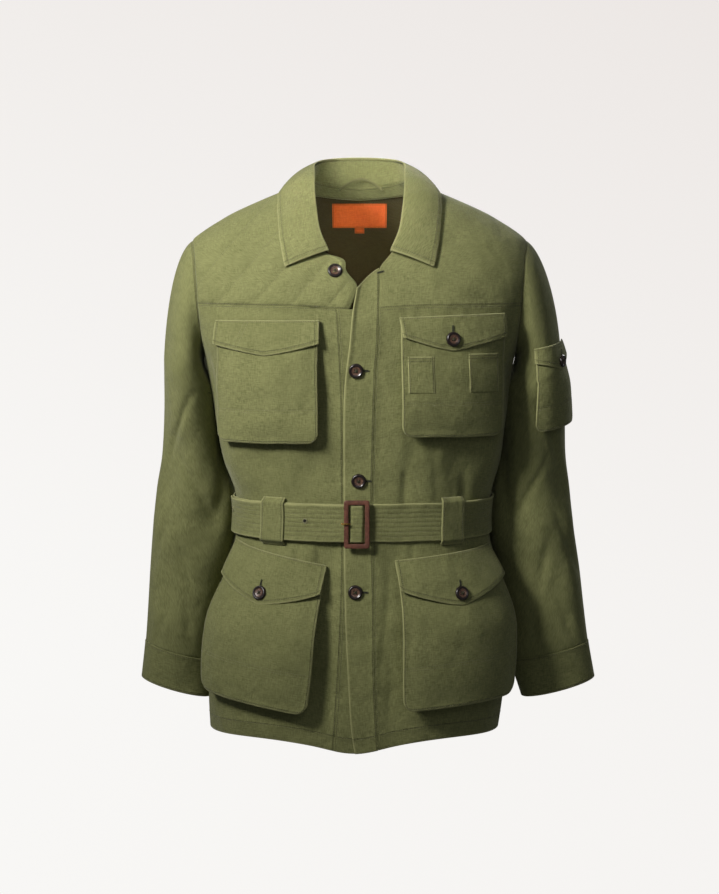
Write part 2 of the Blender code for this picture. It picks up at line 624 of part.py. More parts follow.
def sleeve_ring(side, turn, level):
    """A level oval of the sleeve whose outer side rises; turn is 0 outside, 90 in front, 180 at the body."""
    inner, outer = (smooth(SLEEVE, column, level) for column in ((1, 2) if side > 0 else (3, 4)))
    middle, deep, rise = (smooth(SLEEVE, column, level) for column in (5, 6, 7))
    fold = fold_sum(SLEEVE_FOLDS, turn, level)
    c, s = np.cos(np.radians(turn)), np.sin(np.radians(turn))
    x = (inner + outer) / 2 + ((outer - inner) / 2 + fold) * c
    return np.stack([side * x, middle - (deep + fold) * s, level + rise * c], axis=-1)


def armhole_loop(side, turn):
    """The sleeve's seam: an ellipse seen from the side, just inside the armhole, at the body's own width."""
    c, s = np.cos(np.radians(turn)), np.sin(np.radians(turn))
    middle, half = (SHOULDER_Z + ARMPIT_Z) / 2, (SHOULDER_Z - ARMPIT_Z) / 2 - SLEEVE_GAP
    z = middle + half * c
    reach = np.where(s > 0, ARMHOLE_FRONT, ARMHOLE_BACK) - SLEEVE_GAP
    depth = np.where(s > 0, smooth(BODY, 2, z), smooth(BODY, 3, z))
    power = smooth(BODY, 4, z)
    x = smooth(BODY, 1, z) * (1 - (np.abs(reach * s) / depth) ** power) ** (1 / power)
    return np.stack([side * x, -reach * s, z], axis=-1)


def sleeve(side, turn, way):
    """The sleeve's middle: a cubic curve from the armhole out and down to the first oval (way 0 to 1), then the
    ovals down to the wrist (way 1 to 2)."""
    turn, way = np.broadcast_arrays(np.asarray(turn, dtype=float), np.asarray(way, dtype=float))
    c, s = np.cos(np.radians(turn)), np.sin(np.radians(turn))
    start, end = armhole_loop(side, turn), sleeve_ring(side, turn, np.full(turn.shape, CAP_Z))
    out = np.stack([side * (CAP_OUT[0] + CAP_OUT[1] * c), -CAP_BULGE * s, -CAP_FALL[0] - CAP_FALL[1] * c], axis=-1)
    up = np.stack([-side * CAP_TURN_IN * (1 + c), np.zeros(s.shape), CAP_RISE[0] + CAP_RISE[1] * c], axis=-1)
    t = np.clip(way, 0.0, 1.0)[..., None]
    cap = ((1 - t) ** 3 * start + 3 * t * (1 - t) ** 2 * (start + out)
           + 3 * t * t * (1 - t) * (end + up) + t ** 3 * end)
    level = CAP_Z + (np.maximum(way, 1.0) - 1.0) * (CUFF_END_Z - CAP_Z)
    return np.where((way > 1.0)[..., None], sleeve_ring(side, turn, level), cap)


def on_sleeve(side, turn, way, offset):
    """A point OFFSET outside the sleeve's middle."""
    def surface(u, v):
        return sleeve(side, u, v)
    normal = side * across(surface, turn, way, 1.0, 0.004)
    return sleeve(side, turn, way) + normal * np.asarray(offset, dtype=float)[..., None]


def way_of(level):
    """The share of the way down the sleeve at which its oval has this level."""
    return 1.0 + (level - CAP_Z) / (CUFF_END_Z - CAP_Z)


def sleeve_way(side, turn, z):
    """The share of the way down at which the sleeve passes this z, for each turn."""
    samples = spaced(0.3, 2.0, 400)
    turn, z = np.broadcast_arrays(np.asarray(turn, dtype=float), np.asarray(z, dtype=float))
    heights = sleeve(side, turn.reshape(-1, 1), samples[None, :])[..., 2]
    found = [np.interp(-level, -row, samples) for level, row in zip(z.reshape(-1), heights)]
    return np.array(found).reshape(z.shape)


def arm(name, cuff_name, side):
    """A sleeve from the armhole to the cuff's seam, and its doubled cuff, both open tubes."""
    turn = np.arange(0.0, 360.0, ARMHOLE_STEP)[None, :]
    seam = way_of(CUFF_SEAM_Z)
    half_gap = SEAM / 2 / (CAP_Z - CUFF_END_Z)
    way = np.concatenate([spaced(0.0, 1.0, 7)[:-1], spaced(1.0, seam - half_gap, 11)])[:, None]
    wall(name, on_sleeve(side, turn, way, CLOTH / 2), on_sleeve(side, turn, way, -CLOTH / 2),
         "olive_cloth", ring=True)
    way = spaced(seam + half_gap, 2.0, 4)[:, None]
    wall(cuff_name, on_sleeve(side, turn, way, CLOTH / 2 + CUFF_RISE), on_sleeve(side, turn, way, -CLOTH / 2),
         "olive_cloth", ring=True)


def both_sides(table, angle_column, x_column=0):
    """A table that starts at the middle, with its mirror image before it: turn and x change sign, and the angle is
    counted on past 180."""
    mirrored = []
    for row in table[:0:-1]:
        other = list(row)
        other[0], other[x_column] = -row[0], -row[x_column]
        other[angle_column] = 360.0 - row[angle_column]
        mirrored.append(tuple(other))
    return tuple(mirrored) + table


NECK_ALL = both_sides(NECK, 1)
COLLAR_ALL = both_sides(COLLAR, 4, 1)


def neck_point(turn):
    """A point on the neck seam: turn 0 at the middle of the back, 1 and -1 at the collar's ends."""
    return body(smooth(NECK_ALL, 1, turn), smooth(NECK_ALL, 2, turn))


def fold_point(turn):
    """A point on the collar's fold."""
    return np.stack([smooth(COLLAR_ALL, column, turn) for column in (1, 2, 3)], axis=-1)


def collar_stand(turn, rise):
    """The stand's middle: straight from the neck seam to the fold, bowed a little outwards."""
    turn, rise = np.broadcast_arrays(turn, rise)
    low, high = neck_point(turn), fold_point(turn)
    length = np.linalg.norm(high - low, axis=-1)
    foot, head = (gap + more * np.abs(turn) ** power for gap, more, power in (STAND_GAP, STAND_TOP_GAP))
    share = (foot + (length - foot - head) * rise) / length
    return low + (high - low) * share[..., None]


def collar_fall(turn, drop):
    """The fall's middle: a quadratic curve from the fold, rounded outwards, down to its edge on the body."""
    turn, drop = np.broadcast_arrays(turn, drop)
    start = fold_point(turn)
    angle, z = smooth(COLLAR_ALL, 4, turn), smooth(COLLAR_ALL, 5, turn)
    out = across(body, angle, z, 0.5, 0.002)
    end = body(angle, z) + out * FALL_LIFT
    control = (start + end) / 2 + out * smooth(COLLAR_ALL, 6, turn)[..., None]
    t = drop[..., None]
    return (1 - t) ** 2 * start + 2 * t * (1 - t) * control + t * t * end


def free_wall(name, surface, u, v, step_u, step_v, thick, finish):
    """A wall around a surface that stands by itself."""
    middle = surface(u, v)
    half = across(surface, u, v, step_u, step_v) * thick / 2
    return wall(name, middle + half, middle - half, finish)


def collar():
    """The collar's two pieces: the stand on the neck seam, and the fall turned down over it."""
    turn = spaced(-1.0, 1.0, 27)[None, :]
    free_wall("collar_stand", collar_stand, turn, spaced(0.0, 1.0, 3)[:, None], 0.01, 0.01, DOUBLED, "olive_cloth")
    free_wall("collar_fall", collar_fall, turn, spaced(0.0, 1.0, 6)[:, None], 0.01, 0.01, DOUBLED, "olive_cloth")


def rounded(u, v, width, height, radius):
    """Points of a rectangle moved so that its two lower corners are quarter circles: each corner square is pressed
    into a quarter disc."""
    side = np.clip((u - (width - radius)) / radius, 0.0, 1.0) - np.clip((radius - u) / radius, 0.0, 1.0)
    low = np.clip((v - (height - radius)) / radius, 0.0, 1.0)
    pressed_u = np.where(side < 0, radius, width - radius) + radius * side * np.sqrt(1 - low * low / 2)
    pressed_v = height - radius + radius * low * np.sqrt(1 - side * side / 2)
    return np.where(side != 0, pressed_u, u), np.where(low > 0, pressed_v, v)


def tray(name, place, width, height, radius, stand, columns, rows):
    """A bellows bag: a face that stands off its panel and walls at its sides and bottom, open behind and at the
    top. PLACE turns shares of the width and height and an offset into points."""
    u = np.concatenate([[0.0], spaced(radius, width - radius, columns - 2), [width]])[None, :]
    v = np.concatenate([spaced(0.0, height - radius, rows - 1), [height]])[:, None]
    u, v = np.broadcast_arrays(u, v)
    u, v = rounded(u, v, width, height, radius)
    s, t = u / width, v / height
    inner_s = (CLOTH + u * (1 - 2 * CLOTH / width)) / width
    inner_t = t * (1 - CLOTH / height)
    high = stand(t)
    path = ([(i, 0) for i in range(rows)] + [(rows - 1, j) for j in range(1, columns)]
            + [(i, columns - 1) for i in range(rows - 2, -1, -1)])
    at = tuple(np.array(path).T)
    low = np.full(u.shape, LIE + CLOTH / 2)
    skins = [place(s, t, high).reshape(-1, 3), place(inner_s, inner_t, high - CLOTH).reshape(-1, 3),
             place(s, t, low)[at], place(inner_s, inner_t, low)[at]]
    count, ring = rows * columns, len(path)
    face = np.arange(count).reshape(rows, columns)
    edge = face[at]
    outer_low, inner_low = 2 * count + np.arange(ring), 2 * count + ring + np.arange(ring)

    def quads(a, b, c, d):
        return np.stack([a, b, c, d], axis=-1).reshape(-1, 4)

    faces = [quads(face[:-1, :-1], face[1:, :-1], face[1:, 1:], face[:-1, 1:]),
             quads(face[:-1, :-1] + count, face[:-1, 1:] + count, face[1:, 1:] + count, face[1:, :-1] + count),
             quads(edge[:-1], outer_low[:-1], outer_low[1:], edge[1:]),
             quads(edge[:-1] + count, edge[1:] + count, inner_low[1:], inner_low[:-1]),
             quads(outer_low[:-1], inner_low[:-1], inner_low[1:], outer_low[1:]),
             quads(face[0, :-1], face[0, 1:], face[0, 1:] + count, face[0, :-1] + count),
             quads(edge[:1], edge[:1] + count, inner_low[:1], outer_low[:1]),
             quads(edge[-1:], outer_low[-1:], inner_low[-1:], edge[-1:] + count)]
    return add_object(name, np.concatenate(skins), np.concatenate(faces), "olive_cloth")


def bag_place(row):
    """A function that puts shares of a body pocket's width and height on the body."""
    side, top_in, top_out, low_in, low_out, z_top_in, z_top_out, z_low_in, z_low_out = row[:9]

    def place(s, t, offset):
        inner, outer = top_in + (low_in - top_in) * t, top_out + (low_out - top_out) * t
        z = (z_top_in + (z_low_in - z_top_in) * t) * (1 - s) + (z_top_out + (z_low_out - z_top_out) * t) * s
        return on_body(side * (inner + (outer - inner) * s), z, offset)
    return place


def bag_stand(top, bottom):
    """A function that gives a bag's stand-off by the share of its height."""
    return lambda t: top + (bottom - top) * ease(0.0, BAG_SWELL, t)


def bag_size(row):
    """A body pocket's width and height, measured on the body."""
    place = bag_place(row)
    width = np.linalg.norm(np.diff(place(spaced(0.0, 1.0, 30), 0.6, 0.0), axis=0), axis=1).sum()
    return width, np.linalg.norm(place(0.5, 1.0, 0.0) - place(0.5, 0.0, 0.0))


def flap_grid(row, s, t):
    """A flap's angle, z and offset: straight above, and pointed below, lifting off as it goes down."""
    side, top_in, top_out, low_in, low_out, z_in, z_out, z_low_in, z_low_out, point, z_point, lift = row
    inner, outer = top_in + (low_in - top_in) * t, top_out + (low_out - top_out) * t
    rise = np.where(s < point, s / point, (1 - s) / (1 - point))
    straight = z_low_in + (z_low_out - z_low_in) * s
    at_point = z_low_in + (z_low_out - z_low_in) * point
    low = straight + (z_point - at_point) * ((1 + FLAP_ROUNDING) * rise - FLAP_ROUNDING * rise ** 4)
    high = z_in + (z_out - z_in) * s
    offset = FLAP_START + (lift - FLAP_START) * t ** FLAP_OPENING
    return side * (inner + (outer - inner) * s), high + (low - high) * t, offset


def flap(name, row):
    """A pocket's flap over its bag."""
    s, t = spaced(0.0, 1.0, 11)[None, :], np.array([0.0, 0.22, 0.5, 0.78, 1.0])[:, None]
    angle, z, offset = flap_grid(row, s, t)
    if row[0] > 0:
        angle, z, offset = angle[::-1], z[::-1], offset[::-1]
    body_wall(name, angle, z, offset, CLOTH, "olive_cloth")


def pockets():
    """The four body pockets, their flaps, and the pen pockets on the left chest."""
    for name, row in POCKETS.items():
        width, height = bag_size(row)
        tray(name, bag_place(row), width, height, row[11], bag_stand(row[9], row[10]), 9, 11)
    for name, row in FLAPS.items():
        flap(name, row)
    row = POCKETS["chest_bag_left"]
    place, stand = bag_place(row), bag_stand(row[9], row[10])
    for name, (s_from, s_to, t_from, t_to) in PEN_POCKETS.items():
        s, t = np.meshgrid(spaced(s_from, s_to, 4), spaced(t_from, t_to, 6))
        low = stand(t) + LIE
        wall(name, place(s, t, low + PEN_WALL), place(s, t, low), "olive_cloth")


def sleeve_pocket():
    """The bag and flap on the left upper sleeve."""
    inner, outer = SLEEVE_POCKET_TURNS

    def place(s, t, offset):
        turn = inner + (outer - inner) * s
        top = SLEEVE_BAG_TOP[0] + (SLEEVE_BAG_TOP[1] - SLEEVE_BAG_TOP[0]) * s
        bottom = SLEEVE_BAG_LOW[0] + (SLEEVE_BAG_LOW[1] - SLEEVE_BAG_LOW[0]) * s
        return on_sleeve(1, turn, sleeve_way(1, turn, top + (bottom - top) * t), offset)

    tray("sleeve_bag", place, SLEEVE_BAG_WIDTH, SLEEVE_BAG_TOP[0] - SLEEVE_BAG_LOW[0], SLEEVE_BAG_CORNER,
         bag_stand(*SLEEVE_BAG_STAND), 8, 8)
    s, t = spaced(0.0, 1.0, 9)[None, :], spaced(0.0, 1.0, 5)[:, None]
    turn = inner + SLEEVE_FLAP_SIDE + (outer - inner - 2 * SLEEVE_FLAP_SIDE) * s
    point, point_depth = SLEEVE_FLAP_POINT
    rise = np.where(s < point, s / point, (1 - s) / (1 - point))
    top = SLEEVE_FLAP_TOP[0] + (SLEEVE_FLAP_TOP[1] - SLEEVE_FLAP_TOP[0]) * s
    low = (SLEEVE_FLAP_LOW[0] + (SLEEVE_FLAP_LOW[1] - SLEEVE_FLAP_LOW[0]) * s) - point_depth * rise
    way = sleeve_way(1, turn, top + (low - top) * t)
    offset = FLAP_START + (SLEEVE_FLAP_LIFT - FLAP_START) * t ** FLAP_OPENING
    wall("sleeve_flap", on_sleeve(1, turn, way, offset + CLOTH / 2), on_sleeve(1, turn, way, offset - CLOTH / 2),
         "olive_cloth")
    share, z, height = SLEEVE_BUTTON
    turn = inner + (outer - inner) * share
    way = sleeve_way(1, turn, z)
    seat, above = (on_sleeve(1, turn, way, height + more) for more in (0.0, 0.01))
    button("button_sleeve", seat, above - seat, SMALL_BUTTON_RADIUS)


def button(name, seat, outwards, radius):
    """A turned button with a raised rim and a sunk middle, standing on SEAT."""
    mesh = bpy.data.meshes.new(name)
    points = [(share * radius, 0.0, height) for share, height in BUTTON_PROFILE]
    mesh.from_pydata(points, [(i, i + 1) for i in range(len(points) - 1)], [])
    mesh.materials.append(finish_of(name, "horn"))
    piece = bpy.data.objects.new(name, mesh)
    jacket.objects.link(piece)
    turned = piece.modifiers.new("turned", "SCREW")
    turned.steps = turned.render_steps = 14
    turned.use_merge_vertices = True
    turned.merge_threshold = 0.00005
    piece.location = seat
    piece.rotation_euler = Vector(outwards).to_track_quat("Z", "Y").to_euler()


def buttons():
    """The front's four buttons and the three on the body's flaps."""
    for name, (x, z, layer) in FRONT_BUTTONS.items():
        angle = angle_at(x, z)
        height = PLACKET_OFFSET + DOUBLED / 2 if layer == "placket" else CLOTH / 2 - float(underlap_sink(z))
        seat, above = (on_body(angle, z, height + lift) for lift in (BUTTON_GAP, 0.01))
        button(name, seat, above - seat, BUTTON_RADIUS)
    for name, (flap_name, share, z) in FLAP_BUTTONS.items():
        def surface(s, t, row=FLAPS[flap_name]):
            return on_body(*flap_grid(row, s, t))

        shares = spaced(0.05, 0.95, 50)
        way = np.interp(-z, -surface(share, shares)[:, 2], shares)
        out = -FLAPS[flap_name][0] * across(surface, share, way, 0.01, 0.02)
        button(name, surface(share, way) + out * (CLOTH / 2 + BUTTON_GAP), out, BUTTON_RADIUS)


def belt():
    """The belt all round the waist, its free end over it on the right, and the four loops."""
    angle = spaced(0.0, 360.0, 49)[:-1][None, :]
    z = spaced(BELT_BOTTOM, BELT_TOP, 3)[:, None]
    body_wall("belt", angle, z, BELT_OFFSET, BELT_WALL, "olive_cloth", ring=True)
    centre = float(angle_at(BUCKLE_X, BUCKLE_Z))
    window = float(degrees_for(BUCKLE_WIDTH / 2 - BUCKLE_BAR - SEAM, centre, BUCKLE_Z))
    reach = float(degrees_for(STRAP_REACH, centre, BUCKLE_Z))
    columns = np.concatenate([spaced(BELT_END_ANGLE, centre - reach, 17)[:-1],
                              spaced(centre - reach, centre + reach, 11)])
    raised = STRAP_RAISE * (1 - ease(0.55, 1.0, np.abs(columns - centre) / window))
    offset = BELT_OFFSET + BELT_LAYER + raised
    degrees, narrowest = BELT_END_TAPER
    taper = narrowest + (1 - narrowest) * ease(BELT_END_ANGLE, BELT_END_ANGLE + degrees, columns)
    middle, half = (BELT_TOP + BELT_BOTTOM) / 2, (BELT_TOP - BELT_BOTTOM) / 2 - BELT_END_INSET
    z = middle + spaced(-1.0, 1.0, 3)[:, None] * half * taper[None, :]
    body_wall("belt_end", columns[None, :], z, offset[None, :], BELT_WALL, "olive_cloth")
    for name, middle_angle in BELT_LOOPS.items():
        doubled = name.endswith("front_right")
        belt_loop(name, middle_angle, BELT_OFFSET + BELT_WALL / 2 + (BELT_LAYER if doubled else 0.0) + LIE)


def belt_loop(name, middle, low):
    """A strap bridge over the belt, sewn to the body above and below it; LOW is its inner face's height."""
    half = float(degrees_for(LOOP_HALF_WIDTH, middle, BUCKLE_Z))
    angle = spaced(middle - half, middle + half, 4)[None, :]
    foot = CLOTH / 2 + LIE + SEAM
    levels = np.array([LOOP_BOTTOM, LOOP_BOTTOM, BELT_BOTTOM, BUCKLE_Z, BELT_TOP, LOOP_TOP, LOOP_TOP])
    inset = np.array([CLOTH, CLOTH, 0.0, 0.0, 0.0, -CLOTH, -CLOTH])
    outer = np.array([foot, low + CLOTH * 0.6, low + CLOTH, low + CLOTH, low + CLOTH, low + CLOTH * 0.6, foot])
    inner = np.array([foot, low - CLOTH * 0.4, low, low, low, low - CLOTH * 0.4, foot])
    wall(name, on_body(angle, levels[:, None], outer[:, None]),
         on_body(angle, (levels + inset)[:, None], inner[:, None]), "olive_cloth")


def box_outline(curve, width, height, corner):
    """A closed outline of a rectangle with round corners, three points to a corner, on a flat curve."""
    points = []
    for quarter in range(4):
        for step in range(3):
            turn = math.radians(90.0 * quarter + 45.0 * step)
            right = 1.0 if quarter in (0, 3) else -1.0
            up = 1.0 if quarter in (0, 1) else -1.0
            points.append((right * (width / 2 - corner) + corner * math.cos(turn),
                           up * (height / 2 - corner) + corner * math.sin(turn)))
    outline = curve.splines.new("POLY")
    outline.points.add(len(points) - 1)
    for point, (x, y) in zip(outline.points, points):
        point.co = (x, y, 0.0, 1.0)
    outline.use_cyclic_u = True


def add_curve(name, curve, finish, location=(0.0, 0.0, 0.0), rotation=(0.0, 0.0, 0.0)):
    """A curve object kept as a curve, with its own finish."""
    curve.materials.append(finish_of(name, finish))
    piece = bpy.data.objects.new(name, curve)
    jacket.objects.link(piece)
    piece.location = location
    piece.rotation_euler = rotation


def rod(name, points, radius, finish, sides=3):
    """A round rod along points, with filled ends."""
    curve = bpy.data.curves.new(name, "CURVE")
    curve.dimensions = "3D"
    curve.bevel_depth = radius
    curve.bevel_resolution = sides - 1
    curve.use_fill_caps = True
    line = curve.splines.new("POLY")
    line.points.add(len(points) - 1)
    for point, place in zip(line.points, points):
        point.co = (*place, 1.0)
    add_curve(name, curve, finish)


def buckle():
    """The leather-covered buckle frame, the brass prong over its side bar, and the belt's two eyelets."""
    strap = BELT_OFFSET + BELT_LAYER + BELT_WALL / 2
    seat = on_body(angle_at(BUCKLE_X, BUCKLE_Z), BUCKLE_Z, strap + BUCKLE_GAP + BUCKLE_THICK / 2)
    curve = bpy.data.curves.new("buckle", "CURVE")
    curve.dimensions = "2D"
    curve.fill_mode = "BOTH"
    curve.extrude = BUCKLE_THICK / 2 - BUCKLE_EDGE
    curve.bevel_depth = BUCKLE_EDGE
    curve.bevel_resolution = 0
    round_edge = 2 * BUCKLE_EDGE
    box_outline(curve, BUCKLE_WIDTH - round_edge, BUCKLE_HEIGHT - round_edge, BUCKLE_CORNER)
    box_outline(curve, BUCKLE_WIDTH - 2 * BUCKLE_BAR + round_edge, BUCKLE_HEIGHT - 2 * BUCKLE_BAR + round_edge,
                BUCKLE_CORNER)
    add_curve("buckle", curve, "leather", seat, (math.radians(90.0), 0.0, 0.0))
    prong_y = seat[1] - BUCKLE_THICK / 2 - PRONG_RADIUS - PRONG_GAP
    bar_x = BUCKLE_X - BUCKLE_WIDTH / 2
    rod("prong", [(bar_x + reach, prong_y, PRONG_Z) for reach in PRONG_REACH], PRONG_RADIUS, "brass")
    for name, (eyelet_angle, z) in EYELETS.items():
        seat = on_body(eyelet_angle, z, strap + EYELET_MINOR + PRONG_GAP)
        above = on_body(eyelet_angle, z, strap + 0.01)
        bpy.ops.mesh.primitive_torus_add(major_radius=EYELET_MAJOR, minor_radius=EYELET_MINOR,
                                         major_segments=14, minor_segments=6)
        ring = bpy.context.object
        ring.name = ring.data.name = name
        ring.data.materials.append(finish_of(name, "olive_cloth"))
        ring.data.shade_smooth()
        ring.location = seat
        ring.rotation_euler = Vector(above - seat).to_track_quat("Z", "Y").to_euler()
        for home in list(ring.users_collection):
            home.objects.unlink(ring)
        jacket.objects.link(ring)


def inside_wall(name, angles, levels, columns, rows, finish):
    """A thin piece on the inside of the back, between two angles and two levels."""
    angle = spaced(angles[0], angles[1], columns)[None, :]
    z = spaced(levels[0], levels[1], rows)[:, None]
    body_wall(name, angle, z, -(CLOTH / 2 + LIE + INSIDE_WALL / 2), INSIDE_WALL, finish)


def neck_inside():
    """The facing, the bare label and size tab, and the hanger loop, all inside the back neck."""
    angle = spaced(*FACING_ANGLES, 15)[None, :]
    z = neck_level(angle) - FACING_TOP - FACING_DEPTH * (1 - spaced(0.0, 1.0, 3)[:, None])
    body_wall("neck_facing", angle, z, -(CLOTH / 2 + LIE + INSIDE_WALL / 2), INSIDE_WALL, "olive_cloth")
    for name, width, levels, columns, rows in (("neck_label", LABEL_WIDTH, LABEL_LEVELS, 7, 4),
                                               ("size_tab", TAB_WIDTH, TAB_LEVELS, 3, 2)):
        half = float(degrees_for(width / 2, 180.0, levels[0]))
        inside_wall(name, (180.0 - half, 180.0 + half), levels, columns, rows, "label_cloth")
    depth = CLOTH / 2 + 3 * LIE + INSIDE_WALL + LOOP_RADIUS + SEAM
    ends = [on_body(turn, LOOP_END_Z, -depth) for turn in LOOP_ENDS]
    share = spaced(0.0, 1.0, 9)
    arch = np.sin(np.pi * share)
    points = ends[0] + (ends[1] - ends[0]) * share[:, None]
    points[:, 2] += LOOP_ARCH * arch
    points[:, 1] += LOOP_BACK * arch
    rod("hanger_loop", points.tolist(), LOOP_RADIUS, "olive_cloth")


front_panel("front_left", 1, PLACKET, 2, 11, 0.0)
front_panel("front_right", -1, UNDERLAP, 1, 11, UNDERLAP_SINK)
yoke("yoke_left", 1, NECKLINE_LEFT, 0.0)
yoke("yoke_right", -1, NECKLINE_RIGHT, UNDERLAP_SINK)
back_panel()
placket()
underlap()
arm("sleeve_left", "cuff_left", 1)
arm("sleeve_right", "cuff_right", -1)
collar()
pockets()
sleeve_pocket()
buttons()
belt()
buckle()
neck_inside()
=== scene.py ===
"""Looks of the safari jacket: each cloth piece is a thin shell on its solid's form, with softer folds, seams and
thread.

Metres, +Z up, the same frame as the solids: the front faces -Y and the wearer's left is +X. A piece is a grid of
points, a function of two parameters. Its UV map holds the lengths along its rows and up its columns, in metres, so
that weave and slubs follow the cloth. The attribute "seams" holds the signed distances to up to four sewn lines,
and "fold_edge" the distance to the nearest folded edge.
"""

import math

import bmesh
import bpy
import numpy as np
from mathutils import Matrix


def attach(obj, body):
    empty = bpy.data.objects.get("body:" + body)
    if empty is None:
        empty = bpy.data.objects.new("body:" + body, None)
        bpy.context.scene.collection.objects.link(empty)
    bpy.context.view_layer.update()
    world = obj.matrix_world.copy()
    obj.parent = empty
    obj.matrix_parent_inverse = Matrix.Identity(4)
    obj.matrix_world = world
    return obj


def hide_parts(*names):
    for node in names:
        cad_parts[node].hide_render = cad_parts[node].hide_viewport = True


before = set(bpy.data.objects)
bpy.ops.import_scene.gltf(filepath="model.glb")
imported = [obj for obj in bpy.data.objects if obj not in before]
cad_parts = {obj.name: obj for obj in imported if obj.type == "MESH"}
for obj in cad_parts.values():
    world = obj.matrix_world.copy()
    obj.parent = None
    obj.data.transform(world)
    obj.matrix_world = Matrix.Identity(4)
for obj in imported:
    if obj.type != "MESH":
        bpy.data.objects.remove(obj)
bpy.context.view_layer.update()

# Driving sizes
CLOTH = 0.0015
DOUBLED = 0.0020
LIE = 0.0008
HEM_Z = -0.729
HEM_DIP = 0.011
HEM_DIP_ANGLE = 20.0
HEM_LIFT = 0.0060
HEM_START = -0.450
YOKE_Z = -0.131
YOKE_DIP = 0.0045
YOKE_DIP_WIDTH = 0.060
ARMPIT_Z = -0.205
SHOULDER_Z = -0.045
ARMHOLE_FRONT = 0.062
ARMHOLE_BACK = 0.060
CAP_OUT = (0.0150, 0.0070)
CAP_FALL = (0.0060, 0.0055)
CAP_BULGE = 0.0040
CAP_RISE = (0.0430, 0.0370)
CAP_TURN_IN = 0.0020
CUFF_RISE = 0.0004
UNDERLAP_SINK = 0.0020
SINK_ANGLES = (6.0, 22.0)
YOKE_SINK_ENDS = (-0.100, -0.060)
UNDERLAP_SINK_ENDS = (-0.105, -0.070)
BUTTON_RADIUS = 0.0100
SMALL_BUTTON_RADIUS = 0.0085
BELT_TOP = -0.4005
BELT_BOTTOM = -0.4513
BELT_WALL = 0.0025
BELT_OFFSET = 0.0036
BELT_LAYER = 0.0034
BELT_END_ANGLE = -91.0
BELT_END_TAPER = (5.0, 0.7)
BELT_END_INSET = 0.0006
STRAP_RAISE = 0.0040
STRAP_REACH = 0.0150
BUCKLE_GAP = 0.0014
PRONG_REACH = (-0.0035, 0.0095)
PRONG_GAP = 0.0004
PRONG_RADIUS = 0.0013
PRONG_Z = -0.4253
EYELET_MAJOR = 0.0042
EYELET_MINOR = 0.0008
PLACKET_OFFSET = 0.00035
PLACKET_TOP_FREE = -0.1080
PLACKET_TOP_SEAM = -0.0810
UNDERLAP_TOP = -0.0655
STAND_GAP = (0.0032, 0.0016, 1)
STAND_TOP_GAP = (0.0050, -0.0030, 4)
FALL_LIFT = 0.0044
FLAP_START = 0.0029
FLAP_OPENING = 0.8
FLAP_ROUNDING = 0.12
BAG_SWELL = 0.55
BUTTON_GAP = 0.0005
INSIDE_WALL = 0.0010
FACING_ANGLES = (112.0, 248.0)
FACING_TOP = 0.0012
FACING_DEPTH = 0.0130
LABEL_WIDTH = 0.0740
LABEL_LEVELS = (-0.0270, 0.0070)
TAB_WIDTH = 0.0130
TAB_LEVELS = (-0.0350, -0.0275)
LOOP_ENDS = (207.0, 150.0)
LOOP_END_Z = 0.0240
LOOP_RADIUS = 0.0018
LOOP_ARCH = 0.0130
LOOP_BACK = 0.0020
SLEEVE_POCKET_TURNS = (94.0, 10.0)
SLEEVE_BAG_TOP = (-0.2010, -0.1930)
SLEEVE_BAG_LOW = (-0.3060, -0.2970)
SLEEVE_BAG_WIDTH = 0.0800
SLEEVE_BAG_STAND = (0.0034, 0.0104)
SLEEVE_BAG_CORNER = 0.0120
SLEEVE_FLAP_TOP = (-0.1930, -0.1830)
SLEEVE_FLAP_LOW = (-0.2120, -0.2030)
SLEEVE_FLAP_POINT = (0.60, 0.0150)
SLEEVE_FLAP_SIDE = 1.5
SLEEVE_FLAP_LIFT = 0.0082
SLEEVE_BUTTON = (0.60, -0.2110, 0.0088)
EYELETS = {"eyelet_1": (-34.5, -0.4232), "eyelet_2": (-80.0, -0.4180)}

